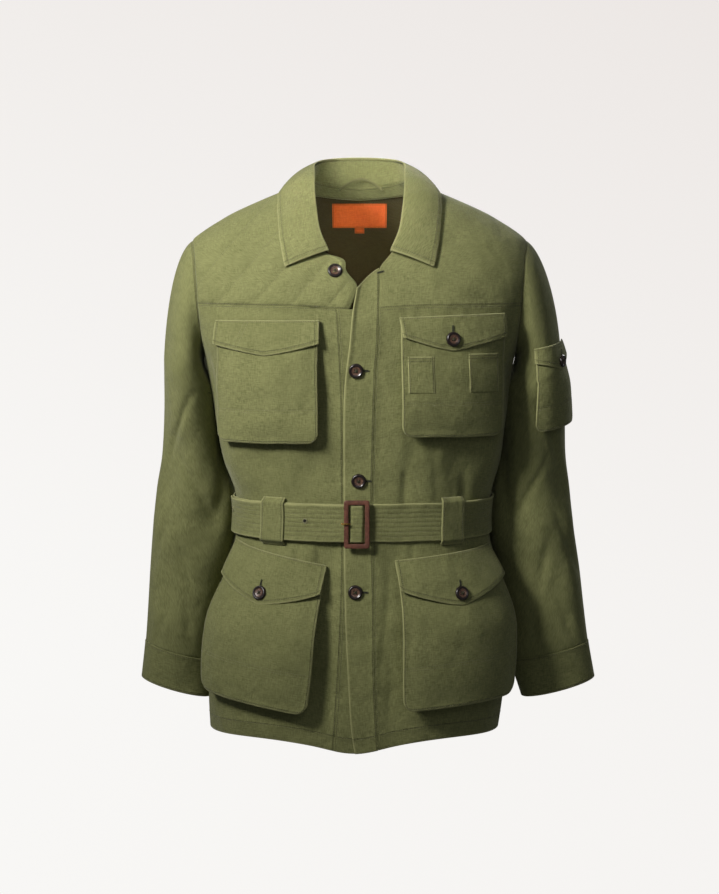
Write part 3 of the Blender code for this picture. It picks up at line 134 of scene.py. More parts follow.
# Level sections of the body, from the hem up
# z, half width, front depth, back depth, squareness, shift in X
BODY = (
    (-0.760, 0.2010, 0.1460, 0.1360, 2.35, -0.0090),
    (-0.680, 0.2085, 0.1440, 0.1330, 2.35, -0.0050),
    (-0.610, 0.2107, 0.1395, 0.1260, 2.35, -0.0014),
    (-0.520, 0.1967, 0.1290, 0.1130, 2.35, 0.0042),
    (-0.452, 0.1778, 0.1215, 0.1020, 2.30, 0.0045),
    (-0.396, 0.1797, 0.1215, 0.1010, 2.30, 0.0054),
    (-0.350, 0.1940, 0.1245, 0.1070, 2.30, 0.0034),
    (-0.306, 0.2010, 0.1275, 0.1130, 2.35, 0.0020),
    (-0.260, 0.2073, 0.1300, 0.1180, 2.40, 0.0015),
    (-0.230, 0.2118, 0.1315, 0.1200, 2.42, 0.0005),
    (-0.205, 0.2165, 0.1325, 0.1215, 2.45, 0.0),
    (-0.180, 0.2235, 0.1330, 0.1225, 2.50, 0.0),
    (-0.150, 0.2330, 0.1315, 0.1235, 2.50, 0.0),
    (-0.120, 0.2400, 0.1255, 0.1220, 2.50, 0.0),
    (-0.090, 0.2430, 0.1150, 0.1180, 2.45, 0.0),
    (-0.072, 0.2410, 0.1070, 0.1140, 2.40, 0.0),
    (-0.055, 0.2365, 0.0985, 0.1090, 2.30, 0.0),
    (-0.042, 0.2290, 0.0920, 0.1040, 2.20, 0.0),
    (-0.031, 0.2150, 0.0860, 0.0980, 2.15, 0.0),
    (-0.019, 0.1960, 0.0790, 0.0910, 2.10, 0.0),
    (-0.008, 0.1770, 0.0720, 0.0840, 2.05, 0.0),
    (0.003, 0.1535, 0.0660, 0.0770, 2.00, 0.0),
    (0.0136, 0.1290, 0.0600, 0.0700, 2.00, 0.0),
    (0.030, 0.0900, 0.0520, 0.0610, 2.00, 0.0),
    (0.0415, 0.0670, 0.0470, 0.0560, 2.00, 0.0),
    (0.060, 0.0400, 0.0400, 0.0480, 2.00, 0.0),
)

# Soft folds of the body, troughs below nought and ridges above
# angle, z of the middle, degrees leaned per metre, half width in degrees, half length, depth
FOLDS = (
    (-52.0, -0.350, 60.0, 7.0, 0.075, -0.0040),
    (-33.0, -0.362, -40.0, 6.5, 0.060, -0.0035),
    (-68.0, -0.335, 30.0, 8.0, 0.090, 0.0035),
    (30.0, -0.352, 50.0, 7.0, 0.075, -0.0035),
    (52.0, -0.345, -60.0, 7.5, 0.080, -0.0042),
    (70.0, -0.330, -20.0, 7.0, 0.085, 0.0035),
    (-24.0, -0.495, 50.0, 6.5, 0.055, -0.0040),
    (22.0, -0.500, -50.0, 6.5, 0.060, -0.0035),
    (-20.0, -0.650, -30.0, 7.0, 0.110, -0.0035),
    (21.0, -0.660, 20.0, 7.5, 0.110, -0.0030),
    (-84.0, -0.520, 0.0, 7.0, 0.080, -0.0040),
    (84.0, -0.520, 0.0, 7.0, 0.080, -0.0040),
    (110.0, -0.350, 40.0, 8.0, 0.080, -0.0040),
    (138.0, -0.345, -30.0, 7.5, 0.085, -0.0042),
    (163.0, -0.352, 30.0, 7.0, 0.075, -0.0036),
    (190.0, -0.345, -30.0, 7.5, 0.080, -0.0040),
    (217.0, -0.352, 30.0, 7.0, 0.080, -0.0038),
    (246.0, -0.350, -40.0, 8.0, 0.085, -0.0042),
    (120.0, -0.520, -30.0, 8.0, 0.070, -0.0036),
    (150.0, -0.530, 30.0, 8.5, 0.085, -0.0042),
    (178.0, -0.520, 0.0, 8.0, 0.080, -0.0036),
    (208.0, -0.530, -30.0, 8.5, 0.080, -0.0042),
    (238.0, -0.520, 30.0, 8.0, 0.075, -0.0036),
)

# The neck seam from the middle of the back round to the collar's front end
# turn, angle, z
NECK = (
    (0.00, 180.0, 0.0260),
    (0.15, 150.0, 0.0290),
    (0.30, 118.0, 0.0355),
    (0.42, 90.0, 0.0415),
    (0.55, 64.0, 0.0310),
    (0.66, 53.5, 0.0120),
    (0.77, 46.0, -0.0100),
    (0.90, 37.2, -0.0330),
    (1.00, 23.1, -0.0610),
)

# The collar's fold, where stand and fall meet, and the fall's outer edge on the body
# turn, fold x, fold y, fold z, edge angle, edge z, roundness of the fall
COLLAR = (
    (0.00, 0.0000, 0.0620, 0.0705, 180.0, 0.0040, 0.012),
    (0.15, 0.0310, 0.0580, 0.0695, 152.0, 0.0040, 0.012),
    (0.30, 0.0545, 0.0360, 0.0660, 120.0, 0.0115, 0.011),
    (0.42, 0.0625, 0.0080, 0.0605, 90.0, 0.0232, 0.010),
    (0.55, 0.0622, -0.0220, 0.0480, 72.0, 0.0105, 0.010),
    (0.66, 0.0618, -0.0470, 0.0290, 62.0, -0.0100, 0.010),
    (0.77, 0.0592, -0.0740, 0.0030, 55.3, -0.0300, 0.010),
    (0.88, 0.0540, -0.0940, -0.0280, 49.0, -0.0550, 0.008),
    (1.00, 0.0420, -0.1070, -0.0560, 43.5, -0.0800, 0.006),
)

# The neckline from the yoke seam up to the neck point, on the left and the right front
# share of the way, angle, z
NECKLINE_LEFT = (
    (0.00, 11.6, -0.1355),
    (0.25, 13.0, -0.1000),
    (0.38, 14.3, -0.0800),
    (0.50, 23.1, -0.0610),
    (0.62, 37.2, -0.0330),
    (0.72, 46.0, -0.0100),
    (0.82, 53.5, 0.0120),
    (0.91, 64.0, 0.0310),
    (1.00, 90.0, 0.0415),
)
NECKLINE_RIGHT = (
    (0.00, 13.1, -0.1355),
    (0.13, 15.3, -0.1180),
    (0.25, 18.2, -0.1000),
    (0.34, 20.9, -0.0840),
    (0.44, 22.9, -0.0680),
    (0.50, 23.6, -0.0610),
    (0.62, 37.2, -0.0330),
    (0.72, 46.0, -0.0100),
    (0.82, 53.5, 0.0120),
    (0.91, 64.0, 0.0310),
    (1.00, 90.0, 0.0415),
)

# The placket on the left front, from the hem up: z, free edge x, seam x
PLACKET = (
    (-0.745, -0.0025, 0.0265),
    (-0.710, -0.0087, 0.0245),
    (-0.630, -0.0148, 0.0207),
    (-0.545, -0.0190, 0.0200),
    (-0.380, -0.0208, 0.0175),
    (-0.306, -0.0208, 0.0192),
    (-0.257, -0.0204, 0.0205),
    (-0.222, -0.0180, 0.0215),
    (-0.186, -0.0133, 0.0245),
    (-0.138, -0.0087, 0.0258),
    (-0.107, -0.0034, 0.0260),
    (-0.080, 0.0010, 0.0262),
)

# The underlap on the right front, from the hem up: z, seam x, free edge x
UNDERLAP = (
    (-0.745, -0.0360, 0.0180),
    (-0.660, -0.0300, 0.0180),
    (-0.545, -0.0235, 0.0160),
    (-0.380, -0.0225, 0.0140),
    (-0.215, -0.0245, 0.0160),
    (-0.177, -0.0268, 0.0180),
    (-0.135, -0.0294, 0.0140),
    (-0.106, -0.0362, 0.0000),
    (-0.084, -0.0418, -0.0180),
    (-0.066, -0.0430, -0.0240),
)

# Level sections of the sleeves, from the wrist up
# z, left inner x, left outer x, right inner x, right outer x, middle y, half depth, rise of the outer side
SLEEVE = (
    (-0.681, 0.2335, 0.3360, 0.2140, 0.3115, 0.0290, 0.0390, 0.0140),
    (-0.628, 0.2165, 0.3268, 0.2130, 0.3058, 0.0320, 0.0450, 0.0130),
    (-0.570, 0.2065, 0.3200, 0.2040, 0.3020, 0.0360, 0.0510, 0.0090),
    (-0.520, 0.1995, 0.3147, 0.1910, 0.2993, 0.0400, 0.0560, 0.0060),
    (-0.452, 0.1835, 0.3042, 0.1755, 0.2934, 0.0360, 0.0600, 0.0040),
    (-0.400, 0.1855, 0.2968, 0.1760, 0.2862, 0.0350, 0.0640, 0.0040),
    (-0.350, 0.1970, 0.2921, 0.1905, 0.2795, 0.0340, 0.0680, 0.0060),
    (-0.300, 0.2040, 0.2900, 0.2005, 0.2758, 0.0280, 0.0720, 0.0120),
    (-0.235, 0.2125, 0.2828, 0.2120, 0.2743, 0.0160, 0.0760, 0.0260),
)
CUFF_SEAM_Z = -0.628
CUFF_END_Z = -0.681
CAP_Z = -0.235

# Soft folds of the sleeves: turn from the outer side towards the front, z, lean, half width, half length, depth
SLEEVE_FOLDS = (
    (60.0, -0.360, 500.0, 20.0, 0.090, -0.0050),
    (25.0, -0.430, -300.0, 18.0, 0.080, 0.0035),
    (110.0, -0.440, 400.0, 20.0, 0.080, -0.0045),
    (70.0, -0.530, -200.0, 18.0, 0.070, -0.0035),
    (250.0, -0.400, 400.0, 22.0, 0.090, -0.0045),
    (300.0, -0.480, -300.0, 20.0, 0.080, -0.0040),
)

# Bellows pockets: side, top inner and outer angle, bottom inner and outer angle,
# top inner and outer z, bottom inner and outer z, stand-off at the top and at the bottom, corner radius
POCKETS = {
    "chest_bag_right": (-1, 22.8, 65.2, 24.6, 71.0, -0.163, -0.163, -0.3140, -0.3160, 0.0041, 0.0135, 0.014),
    "chest_bag_left": (1, 23.0, 66.4, 23.6, 69.8, -0.159, -0.156, -0.3050, -0.3080, 0.0042, 0.0130, 0.014),
    "lower_bag_right": (-1, 23.4, 75.5, 25.6, 71.6, -0.492, -0.473, -0.6850, -0.6620, 0.0034, 0.0230, 0.016),
    "lower_bag_left": (1, 21.4, 76.4, 25.0, 73.4, -0.489, -0.477, -0.6800, -0.6680, 0.0034, 0.0220, 0.016),
}

# Flaps: side, inner and outer angle at the top, inner and outer angle at the bottom, top inner and outer z,
# bottom inner and outer z, share of the way out and z of the point, stand-off at the bottom
FLAPS = {
    "chest_flap_right": (-1, 22.6, 65.5, 22.4, 66.8, -0.1505, -0.1516, -0.1809, -0.1819, 0.55, -0.1965, 0.0105),
    "chest_flap_left": (1, 22.4, 66.2, 24.0, 66.4, -0.1472, -0.1420, -0.1720, -0.1717, 0.52, -0.1899, 0.0105),
    "lower_flap_right": (-1, 22.4, 77.0, 23.8, 73.6, -0.4850, -0.4590, -0.5246, -0.5079, 0.56, -0.5408, 0.0165),
    "lower_flap_left": (1, 20.0, 75.6, 21.4, 74.0, -0.4779, -0.4650, -0.5178, -0.5094, 0.55, -0.5407, 0.0165),
}

# Pen pockets on the left chest bag: share of its width from and to, share of its height from and to
PEN_POCKETS = {
    "pen_pocket_inner": (0.07, 0.34, 0.27, 0.60),
    "pen_pocket_outer": (0.66, 0.93, 0.25, 0.60),
}

# Front buttons: x, z, which layer they are sewn on
FRONT_BUTTONS = {
    "button_front_1": (-0.0330, -0.0842, "underlap"),
    "button_front_2": (-0.0047, -0.2178, "placket"),
    "button_front_3": (-0.0012, -0.3680, "placket"),
    "button_front_4": (-0.0057, -0.5202, "placket"),
}

# Flap buttons: flap, share of its width, z
FLAP_BUTTONS = {
    "button_chest_left": ("chest_flap_left", 0.52, -0.1755),
    "button_lower_right": ("lower_flap_right", 0.56, -0.5230),
    "button_lower_left": ("lower_flap_left", 0.55, -0.5230),
}
BELT_LOOPS = {"belt_loop_front_right": -51.4, "belt_loop_front_left": 51.3,
              "belt_loop_back_right": 212.0, "belt_loop_back_left": 148.0}
LOOP_HALF_WIDTH = 0.0170
LOOP_TOP = -0.3935
LOOP_BOTTOM = -0.4580
BUCKLE_X = -0.0035
BUCKLE_Z = -0.4265
BUCKLE_WIDTH = 0.0350
BUCKLE_HEIGHT = 0.0660
BUCKLE_BAR = 0.0065
BUCKLE_THICK = 0.0045


def smooth(table, column, at):
    """A smooth curve through one column of a table whose first column rises: cubic pieces whose slopes come from
    the neighbouring rows."""
    knots = np.array([row[0] for row in table], dtype=float)
    values = np.array([row[column] for row in table], dtype=float)
    slopes = np.gradient(values, knots)
    at = np.clip(np.asarray(at, dtype=float), knots[0], knots[-1])
    i = np.clip(np.searchsorted(knots, at, side="right") - 1, 0, len(knots) - 2)
    span = knots[i + 1] - knots[i]
    t = (at - knots[i]) / span
    start = (1 + 2 * t) * (1 - t) ** 2 * values[i] + t * (1 - t) ** 2 * span * slopes[i]
    end = t * t * (3 - 2 * t) * values[i + 1] + t * t * (t - 1) * span * slopes[i + 1]
    return start + end


def ease(low, high, at):
    """A smooth step from 0 at LOW to 1 at HIGH."""
    t = np.clip((np.asarray(at, dtype=float) - low) / (high - low), 0.0, 1.0)
    return t * t * (3 - 2 * t)


def fold_sum(folds, angle, z):
    """The height that all the folds give: each is a bell across, and fades to nothing at its two ends."""
    total = np.zeros(np.broadcast(angle, z).shape)
    for middle, level, lean, half_width, half_length, depth in folds:
        across = angle - middle - lean * (z - level)
        across = (across + 180.0) % 360.0 - 180.0
        along = np.clip((z - level) / half_length, -1.0, 1.0)
        total += depth * np.exp(-((across / half_width) ** 2)) * (1 - along * along) ** 2
    return total


def body(angle, z):
    """The body cloth's middle at ANGLE in degrees, 0 at the front, 90 at the wearer's left and 180 at the back: a
    level superellipse, whose size the BODY table gives, with the folds added to its radius."""
    angle, z = np.broadcast_arrays(np.asarray(angle, dtype=float), np.asarray(z, dtype=float))
    half, front, back, power, shift = (smooth(BODY, column, z) for column in range(1, 6))
    s, c = np.sin(np.radians(angle)), np.cos(np.radians(angle))
    depth = np.where(c > 0, front, back)
    radius = (np.abs(s / half) ** power + np.abs(c / depth) ** power) ** (-1 / power)
    radius = radius + fold_sum(FOLDS, angle, z)
    return np.stack([shift + radius * s, -radius * c, z], axis=-1)


def across(surface, u, v, step_u, step_v):
    """The surface's outward direction: the cross product of its two slopes."""
    du = surface(u + step_u, v) - surface(u - step_u, v)
    dv = surface(u, v + step_v) - surface(u, v - step_v)
    normal = np.cross(du, dv)
    return normal / np.linalg.norm(normal, axis=-1, keepdims=True)


def on_body(angle, z, offset):
    """A point OFFSET outside the body cloth's middle."""
    return body(angle, z) + across(body, angle, z, *BODY_STEPS) * np.asarray(offset, dtype=float)[..., None]


def angle_at(x, z):
    """The front angle at which the body has this x."""
    x, z = np.broadcast_arrays(np.asarray(x, dtype=float), np.asarray(z, dtype=float))
    half, front, power, shift = (smooth(BODY, column, z) for column in (1, 2, 4, 5))
    share = np.clip(np.abs((x - shift) / half), 0.0, 0.999)
    depth = front * (1 - share ** power) ** (1 / power)
    return np.degrees(np.arctan2(x - shift, depth))


def hem_z(angle):
    """The hem's level, which dips at the front edge and lifts a little under the hip pockets."""
    turn = np.abs((np.asarray(angle) + 180.0) % 360.0 - 180.0)
    return HEM_Z - HEM_DIP * np.exp(-((turn / HEM_DIP_ANGLE) ** 2)) + HEM_LIFT * np.exp(-(((turn - 48.0) / 26.0) ** 2))


def armhole_depth(z, reach):
    """Half the armhole's depth at z: an ellipse from the armpit to the shoulder point."""
    middle, half = (SHOULDER_Z + ARMPIT_Z) / 2, (SHOULDER_Z - ARMPIT_Z) / 2
    return reach * np.sqrt(np.clip(1 - ((z - middle) / half) ** 2, 0.0, 1.0))


def armhole_angle(z, front=True):
    """The angle of the armhole's edge on the wearer's left, front or back; 90 above and below the armhole."""
    half, power = smooth(BODY, 1, z), smooth(BODY, 4, z)
    depth = smooth(BODY, 2 if front else 3, z)
    reach = armhole_depth(z, ARMHOLE_FRONT if front else ARMHOLE_BACK)
    x = half * (1 - np.clip(reach / depth, 0.0, 0.99) ** power) ** (1 / power)
    return np.degrees(np.arctan2(x, reach)) if front else np.degrees(np.arctan2(x, -reach))


def degrees_for(length, angle, z):
    """The angle that LENGTH takes along the level section at this place."""
    step = 0.5
    reach = np.linalg.norm(body(angle + step, z) - body(angle - step, z), axis=-1) / (2 * step)
    return length / reach


def spaced(start, stop, count):
    """COUNT values, evenly apart."""
    return np.linspace(start, stop, count)


def armhole_rows(low, high, step):
    """Levels on the armhole from LOW to HIGH, at every STEP degrees round it, so that its edge has the same corners
    as the sleeve's."""
    middle, half = (SHOULDER_Z + ARMPIT_Z) / 2, (SHOULDER_Z - ARMPIT_Z) / 2
    levels = middle + half * np.cos(np.radians(np.arange(180.0, -1.0, -step)))
    inside = levels[(levels > low + 0.001) & (levels < high - 0.001)]
    return np.concatenate([[low], inside, [high]])


def yoke_dip(angle, level):
    """How far the yoke seam dips below its level near the front edges."""
    return YOKE_DIP * np.exp(-((body(angle, level)[..., 0] / YOKE_DIP_WIDTH) ** 2))


def edges_patch(bottom, top, left, right):
    """A patch between four edges, each an array of (angle, z): both lofts added, less the corners' blend."""
    s = spaced(0.0, 1.0, len(bottom))[None, :, None]
    t = spaced(0.0, 1.0, len(left))[:, None, None]
    corners = ((1 - s) * (1 - t) * bottom[0] + s * (1 - t) * bottom[-1] + (1 - s) * t * top[0] + s * t * top[-1])
    return (1 - t) * bottom[None] + t * top[None] + (1 - s) * left[:, None] + s * right[:, None] - corners


def neck_level(angle):
    """The neck seam's level on the back, by angle."""
    table = [(180.0 - row[1], row[2]) for row in NECK if row[1] >= 90.0]
    return smooth(table, 1, np.abs(180.0 - np.asarray(angle)))


def underlap_sink(z):
    """How far the underlap's strip lies inside the body's own surface: under the placket, but not in the neck."""
    return UNDERLAP_SINK * (1 - ease(*UNDERLAP_SINK_ENDS, z))


def sleeve_ring(side, turn, level):
    """A level oval of the sleeve whose outer side rises; turn is 0 outside, 90 in front, 180 at the body."""
    inner, outer = (smooth(SLEEVE, column, level) for column in ((1, 2) if side > 0 else (3, 4)))
    middle, deep, rise = (smooth(SLEEVE, column, level) for column in (5, 6, 7))
    fold = fold_sum(SLEEVE_FOLDS, turn, level)
    c, s = np.cos(np.radians(turn)), np.sin(np.radians(turn))
    x = (inner + outer) / 2 + ((outer - inner) / 2 + fold) * c
    return np.stack([side * x, middle - (deep + fold) * s, level + rise * c], axis=-1)


def armhole_loop(side, turn):
    """The sleeve's seam: an ellipse seen from the side, just inside the armhole, at the body's own width."""
    c, s = np.cos(np.radians(turn)), np.sin(np.radians(turn))
    middle, half = (SHOULDER_Z + ARMPIT_Z) / 2, (SHOULDER_Z - ARMPIT_Z) / 2 - SLEEVE_GAP
    z = middle + half * c
    reach = np.where(s > 0, ARMHOLE_FRONT, ARMHOLE_BACK) - SLEEVE_GAP
    depth = np.where(s > 0, smooth(BODY, 2, z), smooth(BODY, 3, z))
    power = smooth(BODY, 4, z)
    x = smooth(BODY, 1, z) * (1 - (np.abs(reach * s) / depth) ** power) ** (1 / power)
    return np.stack([side * x, -reach * s, z], axis=-1)


def sleeve(side, turn, way):
    """The sleeve's middle: a cubic curve from the armhole out and down to the first oval (way 0 to 1), then the
    ovals down to the wrist (way 1 to 2)."""
    turn, way = np.broadcast_arrays(np.asarray(turn, dtype=float), np.asarray(way, dtype=float))
    c, s = np.cos(np.radians(turn)), np.sin(np.radians(turn))
    start, end = armhole_loop(side, turn), sleeve_ring(side, turn, np.full(turn.shape, CAP_Z))
    out = np.stack([side * (CAP_OUT[0] + CAP_OUT[1] * c), -CAP_BULGE * s, -CAP_FALL[0] - CAP_FALL[1] * c], axis=-1)
    up = np.stack([-side * CAP_TURN_IN * (1 + c), np.zeros(s.shape), CAP_RISE[0] + CAP_RISE[1] * c], axis=-1)
    t = np.clip(way, 0.0, 1.0)[..., None]
    cap = ((1 - t) ** 3 * start + 3 * t * (1 - t) ** 2 * (start + out)
           + 3 * t * t * (1 - t) * (end + up) + t ** 3 * end)
    level = CAP_Z + (np.maximum(way, 1.0) - 1.0) * (CUFF_END_Z - CAP_Z)
    return np.where((way > 1.0)[..., None], sleeve_ring(side, turn, level), cap)


def on_sleeve(side, turn, way, offset):
    """A point OFFSET outside the sleeve's middle."""
    def surface(u, v):
        return sleeve(side, u, v)
    normal = side * across(surface, turn, way, 1.0, 0.004)
    return sleeve(side, turn, way) + normal * np.asarray(offset, dtype=float)[..., None]


def way_of(level):
    """The share of the way down the sleeve at which its oval has this level."""
    return 1.0 + (level - CAP_Z) / (CUFF_END_Z - CAP_Z)


def sleeve_way(side, turn, z):
    """The share of the way down at which the sleeve passes this z, for each turn."""
    samples = spaced(0.3, 2.0, 400)
    turn, z = np.broadcast_arrays(np.asarray(turn, dtype=float), np.asarray(z, dtype=float))
    heights = sleeve(side, turn.reshape(-1, 1), samples[None, :])[..., 2]
    found = [np.interp(-level, -row, samples) for level, row in zip(z.reshape(-1), heights)]
    return np.array(found).reshape(z.shape)


def both_sides(table, angle_column, x_column=0):
    """A table that starts at the middle, with its mirror image before it: turn and x change sign, and the angle is
    counted on past 180."""
    mirrored = []
    for row in table[:0:-1]:
        other = list(row)
        other[0], other[x_column] = -row[0], -row[x_column]
        other[angle_column] = 360.0 - row[angle_column]
        mirrored.append(tuple(other))
    return tuple(mirrored) + table


NECK_ALL = both_sides(NECK, 1)
COLLAR_ALL = both_sides(COLLAR, 4, 1)


def neck_point(turn):
    """A point on the neck seam: turn 0 at the middle of the back, 1 and -1 at the collar's ends."""
    return body(smooth(NECK_ALL, 1, turn), smooth(NECK_ALL, 2, turn))


def fold_point(turn):
    """A point on the collar's fold."""
    return np.stack([smooth(COLLAR_ALL, column, turn) for column in (1, 2, 3)], axis=-1)


def collar_stand(turn, rise):
    """The stand's middle: straight from the neck seam to the fold, bowed a little outwards."""
    turn, rise = np.broadcast_arrays(turn, rise)
    low, high = neck_point(turn), fold_point(turn)
    length = np.linalg.norm(high - low, axis=-1)
    foot, head = (gap + more * np.abs(turn) ** power for gap, more, power in (STAND_GAP, STAND_TOP_GAP))
    share = (foot + (length - foot - head) * rise) / length
    return low + (high - low) * share[..., None]


def collar_fall(turn, drop):
    """The fall's middle: a quadratic curve from the fold, rounded outwards, down to its edge on the body."""
    turn, drop = np.broadcast_arrays(turn, drop)
    start = fold_point(turn)
    angle, z = smooth(COLLAR_ALL, 4, turn), smooth(COLLAR_ALL, 5, turn)
    out = across(body, angle, z, *BODY_STEPS)
    end = body(angle, z) + out * FALL_LIFT
    control = (start + end) / 2 + out * smooth(COLLAR_ALL, 6, turn)[..., None]
    t = drop[..., None]
    return (1 - t) ** 2 * start + 2 * t * (1 - t) * control + t * t * end


def rounded(u, v, width, height, radius):
    """Points of a rectangle moved so that its two lower corners are quarter circles: each corner square is pressed
    into a quarter disc."""
    side = np.clip((u - (width - radius)) / radius, 0.0, 1.0) - np.clip((radius - u) / radius, 0.0, 1.0)
    low = np.clip((v - (height - radius)) / radius, 0.0, 1.0)
    pressed_u = np.where(side < 0, radius, width - radius) + radius * side * np.sqrt(1 - low * low / 2)
    pressed_v = height - radius + radius * low * np.sqrt(1 - side * side / 2)
    return np.where(side != 0, pressed_u, u), np.where(low > 0, pressed_v, v)


def bag_place(row):
    """A function that puts shares of a body pocket's width and height on the body."""
    side, top_in, top_out, low_in, low_out, z_top_in, z_top_out, z_low_in, z_low_out = row[:9]

    def place(s, t, offset):
        inner, outer = top_in + (low_in - top_in) * t, top_out + (low_out - top_out) * t
        z = (z_top_in + (z_low_in - z_top_in) * t) * (1 - s) + (z_top_out + (z_low_out - z_top_out) * t) * s
        return on_body(side * (inner + (outer - inner) * s), z, offset)
    return place


def bag_stand(top, bottom):
    """A function that gives a bag's stand-off by the share of its height."""
    return lambda t: top + (bottom - top) * ease(0.0, BAG_SWELL, t)


def bag_size(row):
    """A body pocket's width and height, measured on the body."""
    place = bag_place(row)
    width = np.linalg.norm(np.diff(place(spaced(0.0, 1.0, 30), 0.6, 0.0), axis=0), axis=1).sum()
    return width, np.linalg.norm(place(0.5, 1.0, 0.0) - place(0.5, 0.0, 0.0))


def flap_grid(row, s, t):
    """A flap's angle, z and offset: straight above, and pointed below, lifting off as it goes down."""
    side, top_in, top_out, low_in, low_out, z_in, z_out, z_low_in, z_low_out, point, z_point, lift = row
    inner, outer = top_in + (low_in - top_in) * t, top_out + (low_out - top_out) * t
    rise = np.where(s < point, s / point, (1 - s) / (1 - point))
    straight = z_low_in + (z_low_out - z_low_in) * s
    at_point = z_low_in + (z_low_out - z_low_in) * point
    low = straight + (z_point - at_point) * ((1 + FLAP_ROUNDING) * rise - FLAP_ROUNDING * rise ** 4)
    high = z_in + (z_out - z_in) * s
    offset = FLAP_START + (lift - FLAP_START) * t ** FLAP_OPENING
    return side * (inner + (outer - inner) * s), high + (low - high) * t, offset


# Sizes of the looks: the gap left at a seam, which is 0.1 mm wider than in the solids; the cloth's thickness; how
# far sewn lines run from an edge; and how many times as thick as the cloth are the cuffs and the collar, the flaps
# and the placket, the underlap, and a bag's face
SEAM = 0.0004
SHELL = 0.0011
SLEEVE_GAP = 0.0008
EDGE_SEWN = 0.0024
SEAM_SEWN = 0.0016
HEM_SEWN = 0.020
FLAP_SEWN = 0.0050
COLLAR_SEWN = 0.0060
DOUBLED_SHELL = 1.6
FLAP_SHELL = 1.5
UNDERLAP_SHELL = 1.3
BAG_SHELL = 1.2
THREAD_LIFT = 0.0001

# Steps in angle and z, and in a flap's two shares, over which a surface's slopes are taken
BODY_STEPS = (0.5, 0.002)
FLAP_STEPS = (0.01, 0.02)

# How much stronger the small folds are than their tables say
BODY_FOLD_GAIN = 1.5
SLEEVE_FOLD_GAIN = 1.8

# The sleeve's bulge towards the torso, below the armhole: depth, middle and half length in z, middle and half width
# in turn. It is deeper than it should be: there the sleeve's cloth cuts into the body's
SLEEVE_BULGE = 0.0125
BULGE_Z = (-0.232, 0.060)
BULGE_TURN = (172.0, 46.0)

# The bags' faces and folded walls, and the two sewn lines beside the groove of the band across
BAG_LIFT = 0.0004
BAG_BELLY = 0.0012
BAND_GROOVE = 0.0005
BAND_SEWN = (-0.0012, 0.0022)
BELLOWS_INSET = 0.0022
BELLOWS_FOLD = 0.0034

# The buttons' profile and holes, the last as shares of the radius, and the worked buttonholes
BUTTON_HEIGHT = 0.0024
BUTTON_RIM = 0.0010
BUTTON_DISH = 0.0005
HOLE_DEPTH = 0.0016
HOLE_REACH = 0.17
HOLE_SIZES = (0.06, 0.12)
BUTTON_THREAD = 0.00028
BUTTONHOLE_WIDE = 0.0010
BUTTONHOLE_THREAD = 0.00045
BUTTONHOLE_RIDGES = 40
SLIT_RADIUS = 0.00042

PLACKET_BOW = 0.0035
PLACKET_ROLL = 0.0026
FACING_RISE = 0.003
LOOP_LIFT = (0.004, 0.003)
PEN_WALL = 0.0009
PEN_LIFT = 0.0022
BELT_SPACES = 8
BELT_ROW_DEPTH = 0.00055
BELT_ROW_WIDTH = 0.0008
BELT_SEW_SINK = 0.0004
BELT_WAVE = 0.0006
LOOP_FOOT = 0.0006

# The weave's waves in a metre of cloth, in radians: its threads are about 0.7 mm apart
WEAVE_RATE = 9000.0
QUILT_SLANT = (0.761, -0.648)
QUILT_START = 0.0376
QUILT_STEP = 0.0385
QUILT_SWELL = 0.0024
COLLAR_HOLE = (0.0255, -0.0870)
BAG_BANDS = {"chest_bag_right": 0.715, "chest_bag_left": 0.700, "lower_bag_right": 0.730, "lower_bag_left": 0.700}

# The studio: its floor's radius and level, the shares at which it starts to rise and closes over, and its light
STUDIO_RADIUS = 9.0
STUDIO_FLOOR = -2.0
STUDIO_CLOSE = 0.78
STUDIO_GRID = (60, 97)
WORLD_COLOUR = (0.95, 0.97, 1.0, 1.0)
WORLD_STRENGTH = 0.108
# The backdrop glows by itself between these two colours: painted light, paler towards the bottom and the left
STUDIO_TOP = (0.839, 0.799, 0.776, 1.0)
STUDIO_LOW = (0.947, 0.939, 0.922, 1.0)
CAMERA_PLACE = (0.0, -3.2, 0.0)
CAMERA_DOWN = 5.97
CAMERA_LENS = 92.0
CAMERA_SENSOR = 36.0
CAMERA_CLIP = (0.05, 60.0)
# name, place, aim, size, power, spread, colour
LAMPS = (
    ("key_lamp", (-1.20, -1.25, 0.80), (-0.05, -0.10, -0.02), 0.5, 5.8, 54.0, (1.0, 0.970, 0.94)),
    ("fill_lamp", (0.5, -2.6, 1.0), (0.0, 0.0, -0.15), 1.2, 1.4, 90.0, (0.98, 0.97, 1.0)),
    ("neck_lamp", (0.06, -2.55, 0.80), (0.0, 0.07, 0.0), 0.10, 0.095, 6.4, (1.0, 0.96, 0.88)),
    ("back_lamp", (1.2, 2.6, 1.2), (0.0, 0.0, -0.3), 1.6, 40.0, 180.0, (1.0, 1.0, 1.0)),
)
